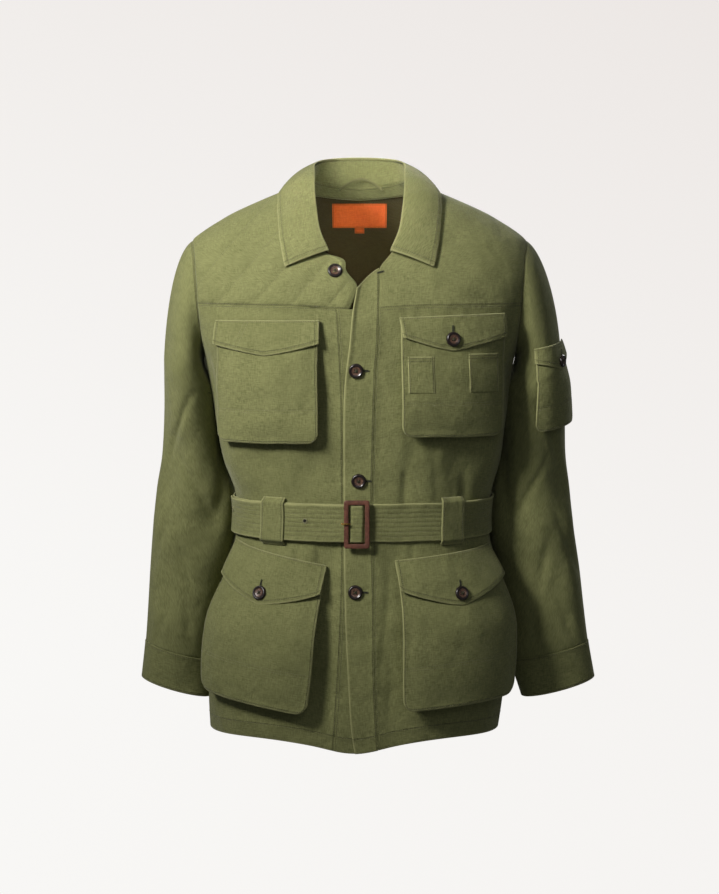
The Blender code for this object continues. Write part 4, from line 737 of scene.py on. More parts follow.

# Small folds of the body's cloth, laid between the large ones: the same columns as FOLDS
SMALL_FOLDS = (
    (-60.0, -0.425, 20.0, 2.6, 0.060, -0.0016),
    (-45.0, -0.372, -35.0, 2.4, 0.045, -0.0015),
    (-28.0, -0.345, -60.0, 2.8, 0.050, -0.0013),
    (-39.0, -0.480, 40.0, 2.4, 0.030, -0.0016),
    (-27.0, -0.475, -30.0, 2.0, 0.026, -0.0014),
    (26.0, -0.380, 30.0, 2.4, 0.050, -0.0014),
    (42.0, -0.360, -60.0, 3.0, 0.060, -0.0016),
    (58.0, -0.385, -30.0, 2.4, 0.045, -0.0016),
    (30.0, -0.474, -30.0, 2.2, 0.028, -0.0015),
    (14.5, -0.560, 16.0, 2.6, 0.120, -0.0016),
    (-17.5, -0.560, -16.0, 2.4, 0.120, -0.0018),
    (18.0, -0.650, -8.0, 2.4, 0.090, -0.0012),
    (26.0, -0.152, 10.0, 2.4, 0.030, -0.0007),
    (33.0, -0.150, -14.0, 2.0, 0.026, -0.0007),
    (40.0, -0.152, 12.0, 2.2, 0.030, -0.0008),
    (47.0, -0.149, 0.0, 2.0, 0.026, -0.0007),
    (54.0, -0.150, 16.0, 2.2, 0.030, -0.0007),
    (-78.0, -0.240, 60.0, 3.0, 0.060, -0.0018),
    (-70.0, -0.300, 90.0, 3.2, 0.070, -0.0016),
    (78.0, -0.240, -60.0, 3.0, 0.060, -0.0018),
    (70.0, -0.300, -90.0, 3.2, 0.070, -0.0016),
    (102.0, -0.235, 60.0, 3.0, 0.055, -0.0020),
    (258.0, -0.240, -60.0, 3.0, 0.060, -0.0020),
    (128.0, -0.430, -40.0, 2.6, 0.060, -0.0018),
    (149.0, -0.375, 30.0, 2.6, 0.050, -0.0016),
    (172.0, -0.440, -20.0, 2.6, 0.060, -0.0017),
    (196.0, -0.380, 30.0, 2.6, 0.055, -0.0016),
    (221.0, -0.440, 20.0, 2.6, 0.060, -0.0018),
    (240.0, -0.375, -30.0, 2.8, 0.050, -0.0016),
    (165.0, -0.600, 10.0, 4.5, 0.110, -0.0018),
    (204.0, -0.610, -12.0, 4.5, 0.110, -0.0018),
    (136.0, -0.190, 40.0, 5.0, 0.100, -0.0020),
    (224.0, -0.190, -40.0, 5.0, 0.100, -0.0020),
)

# Small folds of the sleeves: the same columns as SLEEVE_FOLDS
SMALL_SLEEVE_FOLDS = (
    (78.0, -0.290, 700.0, 7.0, 0.060, -0.0020),
    (52.0, -0.335, 500.0, 7.0, 0.070, -0.0018),
    (96.0, -0.395, -600.0, 8.0, 0.060, -0.0020),
    (40.0, -0.470, 350.0, 8.0, 0.070, -0.0018),
    (84.0, -0.500, -400.0, 8.0, 0.060, -0.0020),
    (60.0, -0.585, 250.0, 8.0, 0.050, -0.0016),
    (104.0, -0.580, -250.0, 8.0, 0.050, -0.0016),
    (262.0, -0.330, 500.0, 9.0, 0.060, -0.0022),
    (284.0, -0.420, -450.0, 9.0, 0.070, -0.0022),
    (240.0, -0.500, 400.0, 9.0, 0.060, -0.0020),
    (300.0, -0.580, -300.0, 9.0, 0.050, -0.0018),
    (140.0, -0.380, 300.0, 10.0, 0.090, -0.0022),
    (220.0, -0.440, -300.0, 10.0, 0.090, -0.0022),
)


def body_cloth(angle, z, offset):
    """The body's cloth: the solid's surface with the small folds pressed in, OFFSET outside it."""
    return on_body(angle, z, np.asarray(offset, dtype=float) + BODY_FOLD_GAIN * fold_sum(SMALL_FOLDS, angle, z))


def lengths(points, axis):
    """The running length of a grid along one axis, from nought."""
    step = np.linalg.norm(np.diff(points, axis=axis), axis=-1)
    start = np.zeros([1 if i == axis else n for i, n in enumerate(points.shape[:2])])
    return np.concatenate([start, np.cumsum(step, axis=axis)], axis=axis)


def grid_normals(points, ring):
    """Unit normals of a grid from its two central differences, which wrap round on a ring."""
    if ring:
        along = np.roll(points, -1, axis=1) - np.roll(points, 1, axis=1)
    else:
        along = np.gradient(points, axis=1)
    up = np.gradient(points, axis=0)
    normal = np.cross(along, up)
    return normal / np.maximum(np.linalg.norm(normal, axis=-1, keepdims=True), 1e-12)


def facing_out(points, normal, centre):
    """1 where the normals point away from the centre, else -1. A centre of None is each row's own middle."""
    middle = points.mean(axis=1, keepdims=True) if centre is None else np.array([centre[0], centre[1], 0.0])
    away = points - middle
    away[..., 2] = 0.0
    return 1.0 if (away * normal).sum() > 0 else -1.0


def placed(name, data):
    """An object of this mesh, lamp or camera, in the scene."""
    thing = bpy.data.objects.new(name, data)
    bpy.context.scene.collection.objects.link(thing)
    return thing


def mesh_object(name, vertices, faces, finishes, finish_index=None, uv=None, marks=None, caps=()):
    """A mesh piece at the origin, smooth, with its finishes, UV map and point attributes. CAPS are the faces that
    have another number of corners."""
    mesh = bpy.data.meshes.new(name)
    mesh.from_pydata(np.asarray(vertices).tolist(), [], np.asarray(faces).tolist() + np.asarray(caps).tolist())
    for finish in finishes:
        mesh.materials.append(finish)
    if finish_index is not None:
        mesh.polygons.foreach_set("material_index", np.asarray(finish_index, dtype=np.int32))
    if uv is not None:
        layer = mesh.uv_layers.new(name="cloth")
        layer.data.foreach_set("uv", np.asarray(uv, dtype=np.float32).ravel())
    for key, values in (marks or {}).items():
        values = np.asarray(values, dtype=np.float32)
        kind, field = ("FLOAT_COLOR", "color") if values.ndim == 2 else ("FLOAT", "value")
        mesh.attributes.new(key, kind, "POINT").data.foreach_set(field, values.ravel())
    mesh.shade_smooth()
    piece = placed(name, mesh)
    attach(piece, "root")
    return piece


def edge_distance(grid, edge):
    """The length over the cloth from one of its four edges."""
    u, v = grid["u"], grid["v"]
    return {"left": u, "right": u[:, -1:] - u, "low": v, "top": v[-1:] - v}[edge]


def crossing(field, points, normal, axis):
    """Where a field that rises along AXIS passes nought: one point and normal for each row or column that it
    crosses, by straight interpolation."""
    if axis == 0:
        field, points, normal = field.T, points.swapaxes(0, 1), normal.swapaxes(0, 1)
    index = np.clip((field < 0).sum(axis=1) - 1, 0, field.shape[1] - 2)
    row = np.arange(len(field))
    low, high = field[row, index], field[row, index + 1]
    share = np.clip(-low / np.where(high == low, 1.0, high - low), 0.0, 1.0)[:, None]
    at = points[row, index] * (1 - share) + points[row, index + 1] * share
    out = normal[row, index] * (1 - share) + normal[row, index + 1] * share
    return at, out, row, index


def thread(name, runs, finish, pitch=0.0031, length=0.0023, radius=0.00026):
    """Stitches along runs of points: each is a small bar of four sides and three sections, thickest in the middle,
    laid along the run and half sunk into the cloth."""
    starts, heads, outs = [], [], []
    for points, normals in runs:
        way = np.concatenate([[0.0], np.cumsum(np.linalg.norm(np.diff(points, axis=0), axis=1))])
        count = int(way[-1] / pitch)
        if count < 1:
            continue
        middle = (np.arange(count) + 0.5) * way[-1] / count
        at = [np.stack([np.interp(middle + shift, way, points[:, k]) for k in range(3)], axis=-1)
              for shift in (-length / 2, length / 2)]
        out = np.stack([np.interp(middle, way, normals[:, k]) for k in range(3)], axis=-1)
        starts.append(at[0])
        heads.append(at[1])
        outs.append(out / np.linalg.norm(out, axis=1, keepdims=True))
    start, head, out = np.concatenate(starts), np.concatenate(heads), np.concatenate(outs)
    along = head - start
    along /= np.maximum(np.linalg.norm(along, axis=1, keepdims=True), 1e-9)
    side = np.cross(out, along)
    share, size = np.array([0.0, 0.5, 1.0]), np.array([0.45, 1.0, 0.45])
    turn = np.arange(4) * math.pi / 2 + math.pi / 4
    centre = start[:, None] + (head - start)[:, None] * share[None, :, None]
    ring = (side[:, None, None] * np.cos(turn)[None, None, :, None] * radius * 1.2
            + out[:, None, None] * np.sin(turn)[None, None, :, None] * radius) * size[None, :, None, None]
    points = (centre[:, :, None] + ring).reshape(-1, 3)
    k = np.arange(4)
    ahead = (k + 1) % 4
    sides = [np.stack([k + 4 * s, ahead + 4 * s, ahead + 4 * s + 4, k + 4 * s + 4], axis=-1) for s in (0, 1)]
    one = np.concatenate(sides + [[[3, 2, 1, 0]], [[8, 9, 10, 11]]])
    faces = (one[None] + 12 * np.arange(len(start))[:, None, None]).reshape(-1, 4)
    piece = mesh_object(name, points, faces, [finish])
    return piece


def rim_loop(rows, columns):
    """The grid's border as row and column numbers, once round."""
    i = np.concatenate([np.zeros(columns - 1, int), np.arange(rows - 1),
                        np.full(columns - 1, rows - 1), np.arange(rows - 1, 0, -1)])
    j = np.concatenate([np.arange(columns - 1), np.full(rows - 1, columns - 1),
                        np.arange(columns - 1, 0, -1), np.zeros(rows - 1, int)])
    return i, j


def quads(a, b, c, d):
    """Four-sided faces from the numbers of their four corners, and their corners' UV from four grids of UV."""
    if a.ndim == 3:
        return np.stack([a, b, c, d], axis=2).reshape(-1, 4, a.shape[-1])
    return np.stack([a, b, c, d], axis=-1).reshape(-1, 4)


SEWN = []


def shell(name, points, thick, finishes, seams=(), folded=(), ring=False, centre=(0.0, 0.0), node=None,
          stitch=True):
    """A cloth piece: the grid moved out and in by half its thickness along its normals, joined by a rounded rim.
    SEAMS lists (edge, distance from it) of its sewn lines and FOLDED the edges that are folded. Gives the normals."""
    rows, columns = points.shape[:2]
    normal = grid_normals(points, ring)
    turned = facing_out(points, normal, centre)
    normal = normal * turned
    closed = np.concatenate([points, points[:, :1]], axis=1) if ring else points
    grid = {"u": lengths(closed, 1), "v": lengths(closed, 0)}
    if ring:
        i = np.concatenate([np.zeros(columns, int), np.full(columns, rows - 1)])
        j = np.concatenate([np.arange(columns), np.arange(columns)])
    else:
        i, j = rim_loop(rows, columns)
    inner_i = np.clip(i, 1, rows - 2)
    inner_j = j if ring else np.clip(j, 1, columns - 2)
    away = points[i, j] - points[inner_i, inner_j]
    away /= np.maximum(np.linalg.norm(away, axis=1, keepdims=True), 1e-9)
    count = rows * columns
    vertices = np.concatenate([(points + normal * thick / 2).reshape(-1, 3),
                               (points - normal * thick / 2).reshape(-1, 3), points[i, j] + away * thick * 0.45])
    index = np.arange(count).reshape(rows, columns)
    if ring:
        index = np.concatenate([index, index[:, :1]], axis=1)
    uv = np.stack([grid["u"], grid["v"]], axis=-1)

    def skin(k, w):
        return quads(k[:-1, :-1], k[:-1, 1:], k[1:, 1:], k[1:, :-1]), quads(
            w[:-1, :-1], w[:-1, 1:], w[1:, 1:], w[1:, :-1])

    outer, outer_uv = skin(index, uv)
    inner, inner_uv = skin(index + count, uv)
    inner, inner_uv = inner[:, ::-1], inner_uv[:, ::-1]
    if ring:
        parts, part_uv = [], []
        for row, base, order in ((0, 2 * count, 1), (rows - 1, 2 * count + columns, -1)):
            k = np.arange(columns)
            ahead = (k + 1) % columns
            edge, edge_uv = index[row], uv[row]
            one = quads(edge[1:], edge[:-1], base + k, base + ahead)
            two = quads(base + ahead, base + k, count + edge[:-1], count + edge[1:])
            tex = np.stack([edge_uv[1:], edge_uv[:-1], edge_uv[:-1], edge_uv[1:]], axis=1)
            parts += [one[:, ::order], two[:, ::order]]
            part_uv += [tex[:, ::order], tex[:, ::order]]
        rim, rim_uv = np.concatenate(parts), np.concatenate(part_uv)
    else:
        k = np.arange(len(i))
        ahead = (k + 1) % len(i)
        edge = index[i, j]
        rim = np.concatenate([
            np.stack([edge[ahead], edge[k], 2 * count + k, 2 * count + ahead], axis=-1),
            np.stack([2 * count + ahead, 2 * count + k, count + edge[k], count + edge[ahead]], axis=-1)])
        edge_uv = uv[i, j]
        tex = np.stack([edge_uv[ahead], edge_uv[k], edge_uv[k], edge_uv[ahead]], axis=1)
        rim_uv = np.concatenate([tex, tex])
    faces = np.concatenate([outer, inner, rim])
    corner_uv = np.concatenate([outer_uv, inner_uv, rim_uv])
    if turned < 0:
        faces, corner_uv = faces[:, ::-1], corner_uv[:, ::-1]
    channels = np.ones((rows, columns, 4))
    runs = []
    for channel, (edge, away_by) in enumerate(seams[:4]):
        field = edge_distance(grid, edge)[:, :columns] - away_by
        channels[..., channel] = field
    for edge, away_by in seams:
        field = edge_distance(grid, edge)[:, :columns] - away_by
        axis = 1 if edge in ("left", "right") else 0
        if edge in ("right", "top"):
            field = -field
        at, out, row, column = crossing(field, points, normal, axis)
        keep = np.ones(len(at), bool)
        for other, other_by in seams:
            if (other in ("left", "right")) != (edge in ("left", "right")):
                room = edge_distance(grid, other)[:, :columns] - other_by
                keep &= (room[row, column] if axis == 1 else room[column, row]) > -0.0005
        if keep.sum() > 3:
            runs.append((at[keep] + out[keep] * (thick / 2 + 0.00008), out[keep]))
    fold = np.ones((rows, columns))
    for edge in folded:
        fold = np.minimum(fold, edge_distance(grid, edge)[:, :columns])
    both = np.concatenate([channels.reshape(-1, 4), channels.reshape(-1, 4), channels[i, j]])
    folds = np.concatenate([fold.reshape(-1), fold.reshape(-1), fold[i, j]])
    # Inner skins take the second finish: for the olive pieces that is the painted shade of the inside
    which = np.concatenate([np.zeros(len(outer), int), np.full(len(inner), min(1, len(finishes) - 1)),
                            np.zeros(len(rim), int)])
    piece = mesh_object(name, vertices, faces, finishes, which, corner_uv, {"seams": both, "fold_edge": folds})
    if node:
        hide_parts(node)
    if stitch:
        SEWN.extend(runs)
    return normal


class Nodes:
    """Short calls for a material's nodes: each makes a node, links or sets its inputs and gives one of its
    outputs."""

    def __init__(self, name):
        self.material = bpy.data.materials.new(name)
        self.material.use_nodes = True
        self.tree = self.material.node_tree
        self.shader = self.tree.nodes["Principled BSDF"]

    def put(self, socket, value):
        if isinstance(value, bpy.types.NodeSocket):
            self.tree.links.new(value, socket)
        elif value is not None:
            socket.default_value = value

    def make(self, kind, inputs=(), output=0, **settings):
        node = self.tree.nodes.new(kind)
        for key, value in settings.items():
            setattr(node, key, value)
        for place, value in enumerate(inputs):
            self.put(node.inputs[place], value)
        return node.outputs[output]

    def math(self, operation, a, b=None):
        return self.make("ShaderNodeMath", (a, b), operation=operation)

    def scaled(self, vector, x, y, z=1.0):
        return self.make("ShaderNodeVectorMath", (vector, (x, y, z)), operation="MULTIPLY")

    def noise(self, vector, scale, detail, rough):
        node = self.tree.nodes.new("ShaderNodeTexNoise")
        self.put(node.inputs["Vector"], vector)
        for key, value in (("Scale", scale), ("Detail", detail), ("Roughness", rough)):
            node.inputs[key].default_value = value
        return node.outputs["Fac"]

    def span(self, value, low, high, to_low=0.0, to_high=1.0):
        node = self.tree.nodes.new("ShaderNodeMapRange")
        self.put(node.inputs["Value"], value)
        for key, number in (("From Min", low), ("From Max", high), ("To Min", to_low), ("To Max", to_high)):
            node.inputs[key].default_value = number
        return node.outputs["Result"]

    def mix(self, share, a, b):
        node = self.tree.nodes.new("ShaderNodeMix")
        node.data_type = "RGBA"
        self.put(node.inputs["Factor"], share)
        self.put(node.inputs[6], a)
        self.put(node.inputs[7], b)
        return node.outputs[2]

    def bump(self, height, distance):
        node = self.tree.nodes.new("ShaderNodeBump")
        node.inputs["Distance"].default_value = distance
        self.put(node.inputs["Height"], height)
        self.put(self.shader.inputs["Normal"], node.outputs["Normal"])

    def finish(self, **sockets):
        for key, value in sockets.items():
            self.put(self.shader.inputs[key.replace("_", " ")], value)
        return self.material


def cloth_finish(name, colour, light, dark, edge, weave=1.0):
    """Linen-like plain weave: crossed threads about 0.7 mm apart, long slubs both ways, broad patches of another
    shade, a painted highlight along folded edges, and sewn lines as grooves with puckers across them, darkened by
    painted shade."""
    n = Nodes(name)
    uv = n.make("ShaderNodeUVMap", uv_map="cloth")
    place = n.make("ShaderNodeTexCoord", output=3)
    split = n.tree.nodes.new("ShaderNodeSeparateXYZ")
    n.put(split.inputs[0], uv)
    u, v = split.outputs[0], split.outputs[1]
    warp = n.math("SINE", n.math("MULTIPLY", u, WEAVE_RATE))
    weft = n.math("SINE", n.math("MULTIPLY", v, WEAVE_RATE))
    plain = n.math("MULTIPLY", n.math("MULTIPLY", warp, weft), 0.5)
    slub_across = n.noise(n.scaled(uv, 110.0, 640.0), 1.0, 3.0, 0.65)
    slub_up = n.noise(n.scaled(uv, 640.0, 110.0), 1.0, 3.0, 0.65)
    slubs = n.math("ADD", slub_across, slub_up)
    patches = n.noise(place, 9.0, 3.0, 0.55)
    mottled = n.noise(place, 60.0, 2.0, 0.6)
    seams = n.tree.nodes.new("ShaderNodeAttribute")
    seams.attribute_name = "seams"
    parts = n.tree.nodes.new("ShaderNodeSeparateColor")
    n.put(parts.inputs[0], seams.outputs["Color"])
    fields = [n.math("ABSOLUTE", socket) for socket in
              (parts.outputs[0], parts.outputs[1], parts.outputs[2], seams.outputs["Alpha"])]
    nearest = n.math("MINIMUM", n.math("MINIMUM", fields[0], fields[1]), n.math("MINIMUM", fields[2], fields[3]))
    # Grooves along sewn lines: a dent in the bump, and the mask of the painted shade in them
    groove = n.span(nearest, 0.0, 0.0011, 1.0, 0.0)
    close = n.span(nearest, 0.0, 0.009, 1.0, 0.0)
    pucker = n.math("MULTIPLY", n.noise(place, 170.0, 2.0, 0.5), n.math("POWER", close, 2.0))
    folded = n.make("ShaderNodeAttribute", output="Fac", attribute_name="fold_edge")
    # Mask of the painted highlight: full within 0.3 mm of a folded edge, fading to nought 2.6 mm in
    rim = n.span(folded, 0.0003, 0.0026, 1.0, 0.0)
    shade = n.mix(n.span(slubs, 0.80, 1.20), dark, light)
    shade = n.mix(n.span(patches, 0.30, 0.70, 0.0, 0.35), shade, colour)
    shade = n.mix(n.span(n.noise(place, 14.0, 4.0, 0.65), 0.48, 0.72, 0.0, 0.50), shade, dark)
    shade = n.mix(n.span(mottled, 0.35, 0.75, 0.0, 0.25), shade, light)
    # Painted highlight: folded edges are lightened towards the edge colour
    shade = n.mix(n.math("MULTIPLY", rim, 0.65), shade, edge)
    # Painted shade: the cloth darkens in the groove along each sewn line
    shade = n.mix(n.math("MULTIPLY", groove, 0.60), shade, (0.4 * dark[0], 0.4 * dark[1], 0.4 * dark[2], 1))
    height = n.math("ADD", n.math("MULTIPLY", plain, 0.10 * weave), n.math("MULTIPLY", slubs, 0.22 * weave))
    crumpled, creased = n.noise(place, 28.0, 3.0, 0.5), n.noise(place, 11.0, 1.0, 0.5)
    for field, strength in ((pucker, 1.6), (crumpled, 4.6), (creased, 12.0), (groove, -0.60)):
        height = n.math("ADD", height, n.math("MULTIPLY", field, strength))
    n.bump(height, 0.001)
    return n.finish(Base_Color=shade, Roughness=n.span(slubs, 0.7, 1.3, 0.82, 0.95), Sheen_Weight=0.22,
                    Sheen_Roughness=0.45, Sheen_Tint=(0.80, 0.82, 0.60, 1.0), Specular_IOR_Level=0.18)


# The fourth colour of each cloth finish is the painted highlight along folded edges
OLIVE = cloth_finish("olive_cloth_finish", (0.169, 0.178, 0.069, 1), (0.222, 0.229, 0.095, 1),
                     (0.118, 0.126, 0.046, 1), (0.310, 0.310, 0.140, 1))
# The same olive cloth made much darker and browner: painted shade for the inner skins inside the jacket
SHADED_INSIDE = cloth_finish("inside_painted_shade_finish", (0.052, 0.041, 0.014, 1), (0.064, 0.051, 0.018, 1),
                      (0.040, 0.032, 0.010, 1), (0.064, 0.051, 0.018, 1))
BOTH = [OLIVE, SHADED_INSIDE]


def plain_finish(name, colour, rough, bump_scale, bump_height, **sockets):
    """A finish of one main colour with clouds of a darker one and fine grain."""
    n = Nodes(name)
    place = n.make("ShaderNodeTexCoord", output=3)
    dark = tuple(0.55 * value for value in colour[:3]) + (1,)
    cloud = n.noise(place, bump_scale * 0.25, 3.0, 0.6)
    shade = n.mix(n.span(cloud, 0.35, 0.68), dark, colour)
    grain = n.noise(place, bump_scale, 3.0, 0.6)
    n.bump(grain, bump_height)
    return n.finish(Base_Color=shade, Roughness=n.span(grain, 0.3, 0.7, rough - 0.08, rough + 0.08), **sockets)


def horn_finish():
    """Dark brown horn: a near-black rim and a lighter, streaked brown middle, blacker in the holes with painted shade.
    """
    n = Nodes("horn_finish")
    place = n.make("ShaderNodeTexCoord", output=3)
    middle = n.make("ShaderNodeAttribute", output="Fac", attribute_name="middle")
    streaks = n.noise(n.scaled(place, 1.0, 1.0, 3.0), 420.0, 4.0, 0.65)
    brown = n.mix(n.span(streaks, 0.40, 0.64), (0.030, 0.014, 0.009, 1), (0.200, 0.110, 0.070, 1))
    # Near-black where the middle mark is nought: the rim, and painted shade in the holes
    shade = n.mix(middle, (0.012, 0.007, 0.006, 1), brown)
    n.bump(streaks, 0.0001)
    return n.finish(Base_Color=shade, Roughness=0.30, Specular_IOR_Level=0.5, Coat_Weight=0.25, Coat_Roughness=0.15)


HORN = horn_finish()
LEATHER = plain_finish("leather_finish", (0.165, 0.062, 0.038, 1), 0.50, 900.0, 0.00025, Specular_IOR_Level=0.4)
BRASS = plain_finish("brass_finish", (0.72, 0.42, 0.12, 1), 0.30, 500.0, 0.00005, Metallic=1.0)
THREAD = plain_finish("thread_finish", (0.245, 0.240, 0.110, 1), 0.75, 2500.0, 0.00010, Sheen_Weight=0.2)
DARK_THREAD = plain_finish("dark_thread_finish", (0.055, 0.062, 0.026, 1), 0.80, 2500.0, 0.00010)
# Painted shadow: near-black for the buttonholes' slits and the eyelets' holes, where there is only shade
SHADOW_CLOTH = plain_finish("painted_shadow_finish", (0.016, 0.017, 0.009, 1), 0.95, 900.0, 0.00010)
LABEL = cloth_finish("label_finish", (0.82, 0.150, 0.030, 1), (0.88, 0.180, 0.036, 1), (0.72, 0.120, 0.022, 1),
                     (0.86, 0.18, 0.04, 1), weave=0.5)


def front(word, side, table, edge_column, sink):
    """A front panel: share runs from the placket's seam to the side seam and armhole, level from hem to yoke."""
    top = YOKE_Z - SEAM / 2
    level = np.concatenate([spaced(HEM_Z, ARMPIT_Z, 116)[:-1], armhole_rows(ARMPIT_Z, top, 3.2)])[:, None]
    share = spaced(0.0, 1.0, 70)[None, :]
    inner = angle_at(smooth(table, edge_column, level) + side * SEAM / 2, level)
    outer = side * armhole_angle(level)
    outer = outer - side * degrees_for(SEAM / 2, outer, level)
    angle = inner + (outer - inner) * share
    z = level + hem_shift(angle, level)
    z = z - yoke_dip(angle, level) * ease(ARMPIT_Z, top, level)
    offset = -sink * (1 - ease(*SINK_ANGLES, np.abs(angle - inner)))
    shell("front_cloth_" + word, body_cloth(angle, z, offset), SHELL, BOTH,
          seams=(("low", HEM_SEWN), ("left", 0.0018), ("top", SEAM_SEWN)), folded=("low",), node="front_" + word)


def hem_shift(angle, level):
    """How far the hem's curve moves the cloth up or down at this level: in full at the hem, not at all above it."""
    return (hem_z(angle) - HEM_Z) * ease(HEM_START, HEM_Z, level)


def between(ends, share):
    """The value at this share of the way between two."""
    return ends[0] + (ends[1] - ends[0]) * share


def quilt(across_lines, depth):
    """How far quilted cloth stands proud: nought on its stitched lines and a round swell between them."""
    share = across_lines - np.floor(across_lines)
    return depth * (np.sin(np.pi * share) ** 0.6)


def front_yoke(word, side, neckline, sink, quilted):
    """A front yoke between its four edges; the quilted one swells between slanting sewn lines."""
    low = YOKE_Z + SEAM / 2
    levels = armhole_rows(low, SHOULDER_Z, 1.2)
    if sink:
        neckline = [(place, abs(float(angle_at(smooth(UNDERLAP, 2, z), z))) if z < UNDERLAP_TOP else angle, z)
                    for place, angle, z in neckline]
    columns, way = 90, spaced(0.0, 1.0, len(levels))
    left = np.stack([smooth(neckline, 1, way), smooth(neckline, 2, way)], axis=-1)
    right = np.stack([armhole_angle(levels), levels], axis=-1)
    right[:-1, 0] -= degrees_for(SEAM / 2, right[:-1, 0], levels[:-1])
    angle = spaced(left[0, 0], right[0, 0], columns)
    bottom = np.stack([angle, low - yoke_dip(angle, low)], axis=-1)
    left[0], right[0] = bottom[0], bottom[-1]
    ridge_z = spaced(neckline[-1][2], SHOULDER_Z, columns)
    ridge = 90.0 - degrees_for(SEAM / 2, 90.0, ridge_z)
    top = np.stack([ridge, ridge_z], axis=-1)
    left[-1], right[-1] = top[0], top[-1]
    patch = edges_patch(bottom, top, left, right)
    angle, z = side * patch[..., 0], patch[..., 1]
    offset = -sink * (1 - ease(*SINK_ANGLES, np.abs(angle) - left[0, 0])) * (1 - ease(*YOKE_SINK_ENDS, z))
    points = body_cloth(angle, z, offset)
    if quilted:
        lines = (points[..., 0] * QUILT_SLANT[0] + (z - QUILT_START) * QUILT_SLANT[1]) / QUILT_STEP
        edges = np.minimum(np.minimum(ease(0.0, 0.05, way)[:, None], ease(1.0, 0.95, way)[:, None]),
                           np.minimum(ease(0.0, 0.05, spaced(0.0, 1.0, columns)),
                                      ease(1.0, 0.95, spaced(0.0, 1.0, columns)))[None, :])
        swell = quilt(lines, QUILT_SWELL) * edges
        points = body_cloth(angle, z, offset + swell)
    normal = shell("yoke_cloth_" + word, points, SHELL, BOTH,
                   seams=(("low", SEAM_SEWN), ("right", SEAM_SEWN)), node="yoke_" + word)
    if quilted:
        runs = []
        for number in range(int(np.floor(lines.min())) + 1, int(np.floor(lines.max())) + 1):
            field = lines - number
            inside = (field.min(axis=0) < 0) & (field.max(axis=0) > 0)
            if inside.sum() > 5:
                sign = 1.0 if field[-1, inside].mean() > field[0, inside].mean() else -1.0
                at, out, _, _ = crossing(sign * field[:, inside], points[:, inside], normal[:, inside], 0)
                runs.append((at + out * (SHELL / 2 + THREAD_LIFT), out))
        SEWN.extend(runs)


def back():
    """The back, from side seam to side seam and from the hem over the shoulder blades to the neck."""
    shoulder_neck_z = NECK[3][2]
    levels = np.concatenate([spaced(HEM_Z, ARMPIT_Z, 112)[:-1], armhole_rows(ARMPIT_Z, SHOULDER_Z, 4.0)[:-1],
                             spaced(SHOULDER_Z, shoulder_neck_z, 20)])[:, None]
    share = spaced(0.0, 1.0, 112)[None, :]
    start = armhole_angle(levels, front=False)
    start = np.where((levels < ARMPIT_Z) | (levels > SHOULDER_Z), 90.0, start)
    start = start + degrees_for(SEAM / 2, start, levels)
    angle = start + (360.0 - 2 * start) * share
    top = neck_level(90.0 + 180.0 * share)
    z = HEM_Z + (levels - HEM_Z) * (top - HEM_Z) / (shoulder_neck_z - HEM_Z)
    z = z + hem_shift(angle, levels)
    shell("back_cloth", body_cloth(angle, z, 0.0), SHELL, BOTH,
          seams=(("low", HEM_SEWN), ("left", SEAM_SEWN), ("right", SEAM_SEWN)), folded=("low",), node="back")


def placket():
    """The doubled strip down the left front, over the underlap, with its sewn lines and rolled free edge."""
    share = spaced(0.0, 1.0, 24)[None, :]
    rows = np.concatenate([spaced(HEM_Z, ARMPIT_Z, 170)[:-1], spaced(ARMPIT_Z, PLACKET_TOP_FREE, 40)])[:, None]
    top = PLACKET_TOP_FREE + (PLACKET_TOP_SEAM - PLACKET_TOP_FREE) * share
    z = rows + (top - PLACKET_TOP_FREE) * ease(ARMPIT_Z, PLACKET_TOP_FREE, rows)
    free, seam = smooth(PLACKET, 1, z), smooth(PLACKET, 2, z) - SEAM / 2
    angle = angle_at(free + (seam - free) * share, z)
    z = z + PLACKET_BOW * np.sin(np.pi * share) * ease(-0.12, PLACKET_TOP_FREE, z)
    z = z + hem_shift(angle, z)
    rolled = PLACKET_ROLL * (1 - ease(0.0, 0.20, share)) * ease(-0.30, -0.12, z)
    shell("placket_cloth", body_cloth(angle, z, PLACKET_OFFSET + rolled), SHELL * FLAP_SHELL, BOTH,
          seams=(("right", SEAM_SEWN), ("low", HEM_SEWN), ("top", SEAM_SEWN)), folded=("left", "low", "top"),
          node="placket")


def underlap():
    """The right front's edge strip, under the placket and open to view in the neck."""
    share = spaced(0.0, 1.0, 22)[None, :]
    z = np.concatenate([spaced(HEM_Z, ARMPIT_Z, 150)[:-1], spaced(ARMPIT_Z, YOKE_Z - SEAM / 2, 30)])[:, None]
    seam, free = smooth(UNDERLAP, 1, z) + SEAM / 2, smooth(UNDERLAP, 2, z)
    angle = angle_at(seam + (free - seam) * share, z)
    offset = -underlap_sink(z)
    z = z + hem_shift(angle, z) - yoke_dip(angle, z) * ease(ARMPIT_Z, YOKE_Z, z)
    shell("underlap_cloth", body_cloth(angle, z, offset), SHELL * UNDERLAP_SHELL, BOTH,
          seams=(("left", SEAM_SEWN), ("right", SEAM_SEWN), ("low", HEM_SEWN)), folded=("right", "low"),
          node="underlap")


def sleeve_cloth(side, turn, way, offset):
    """The sleeve's cloth with its small folds pressed in and its bulge towards the torso."""
    level = CAP_Z + (np.maximum(way, 1.0) - 1.0) * (CUFF_END_Z - CAP_Z)
    folds = SLEEVE_FOLD_GAIN * fold_sum(SMALL_SLEEVE_FOLDS, turn, level)
    from_z, from_turn = level - BULGE_Z[0], np.asarray(turn) % 360 - BULGE_TURN[0]
    near_body = SLEEVE_BULGE * np.exp(-((from_z / BULGE_Z[1]) ** 2) - (from_turn / BULGE_TURN[1]) ** 2)
    raised = np.asarray(offset, dtype=float) + folds * ease(0.4, 1.0, way) + near_body * ease(0.3, 0.9, way)
    return on_sleeve(side, turn, way, raised)


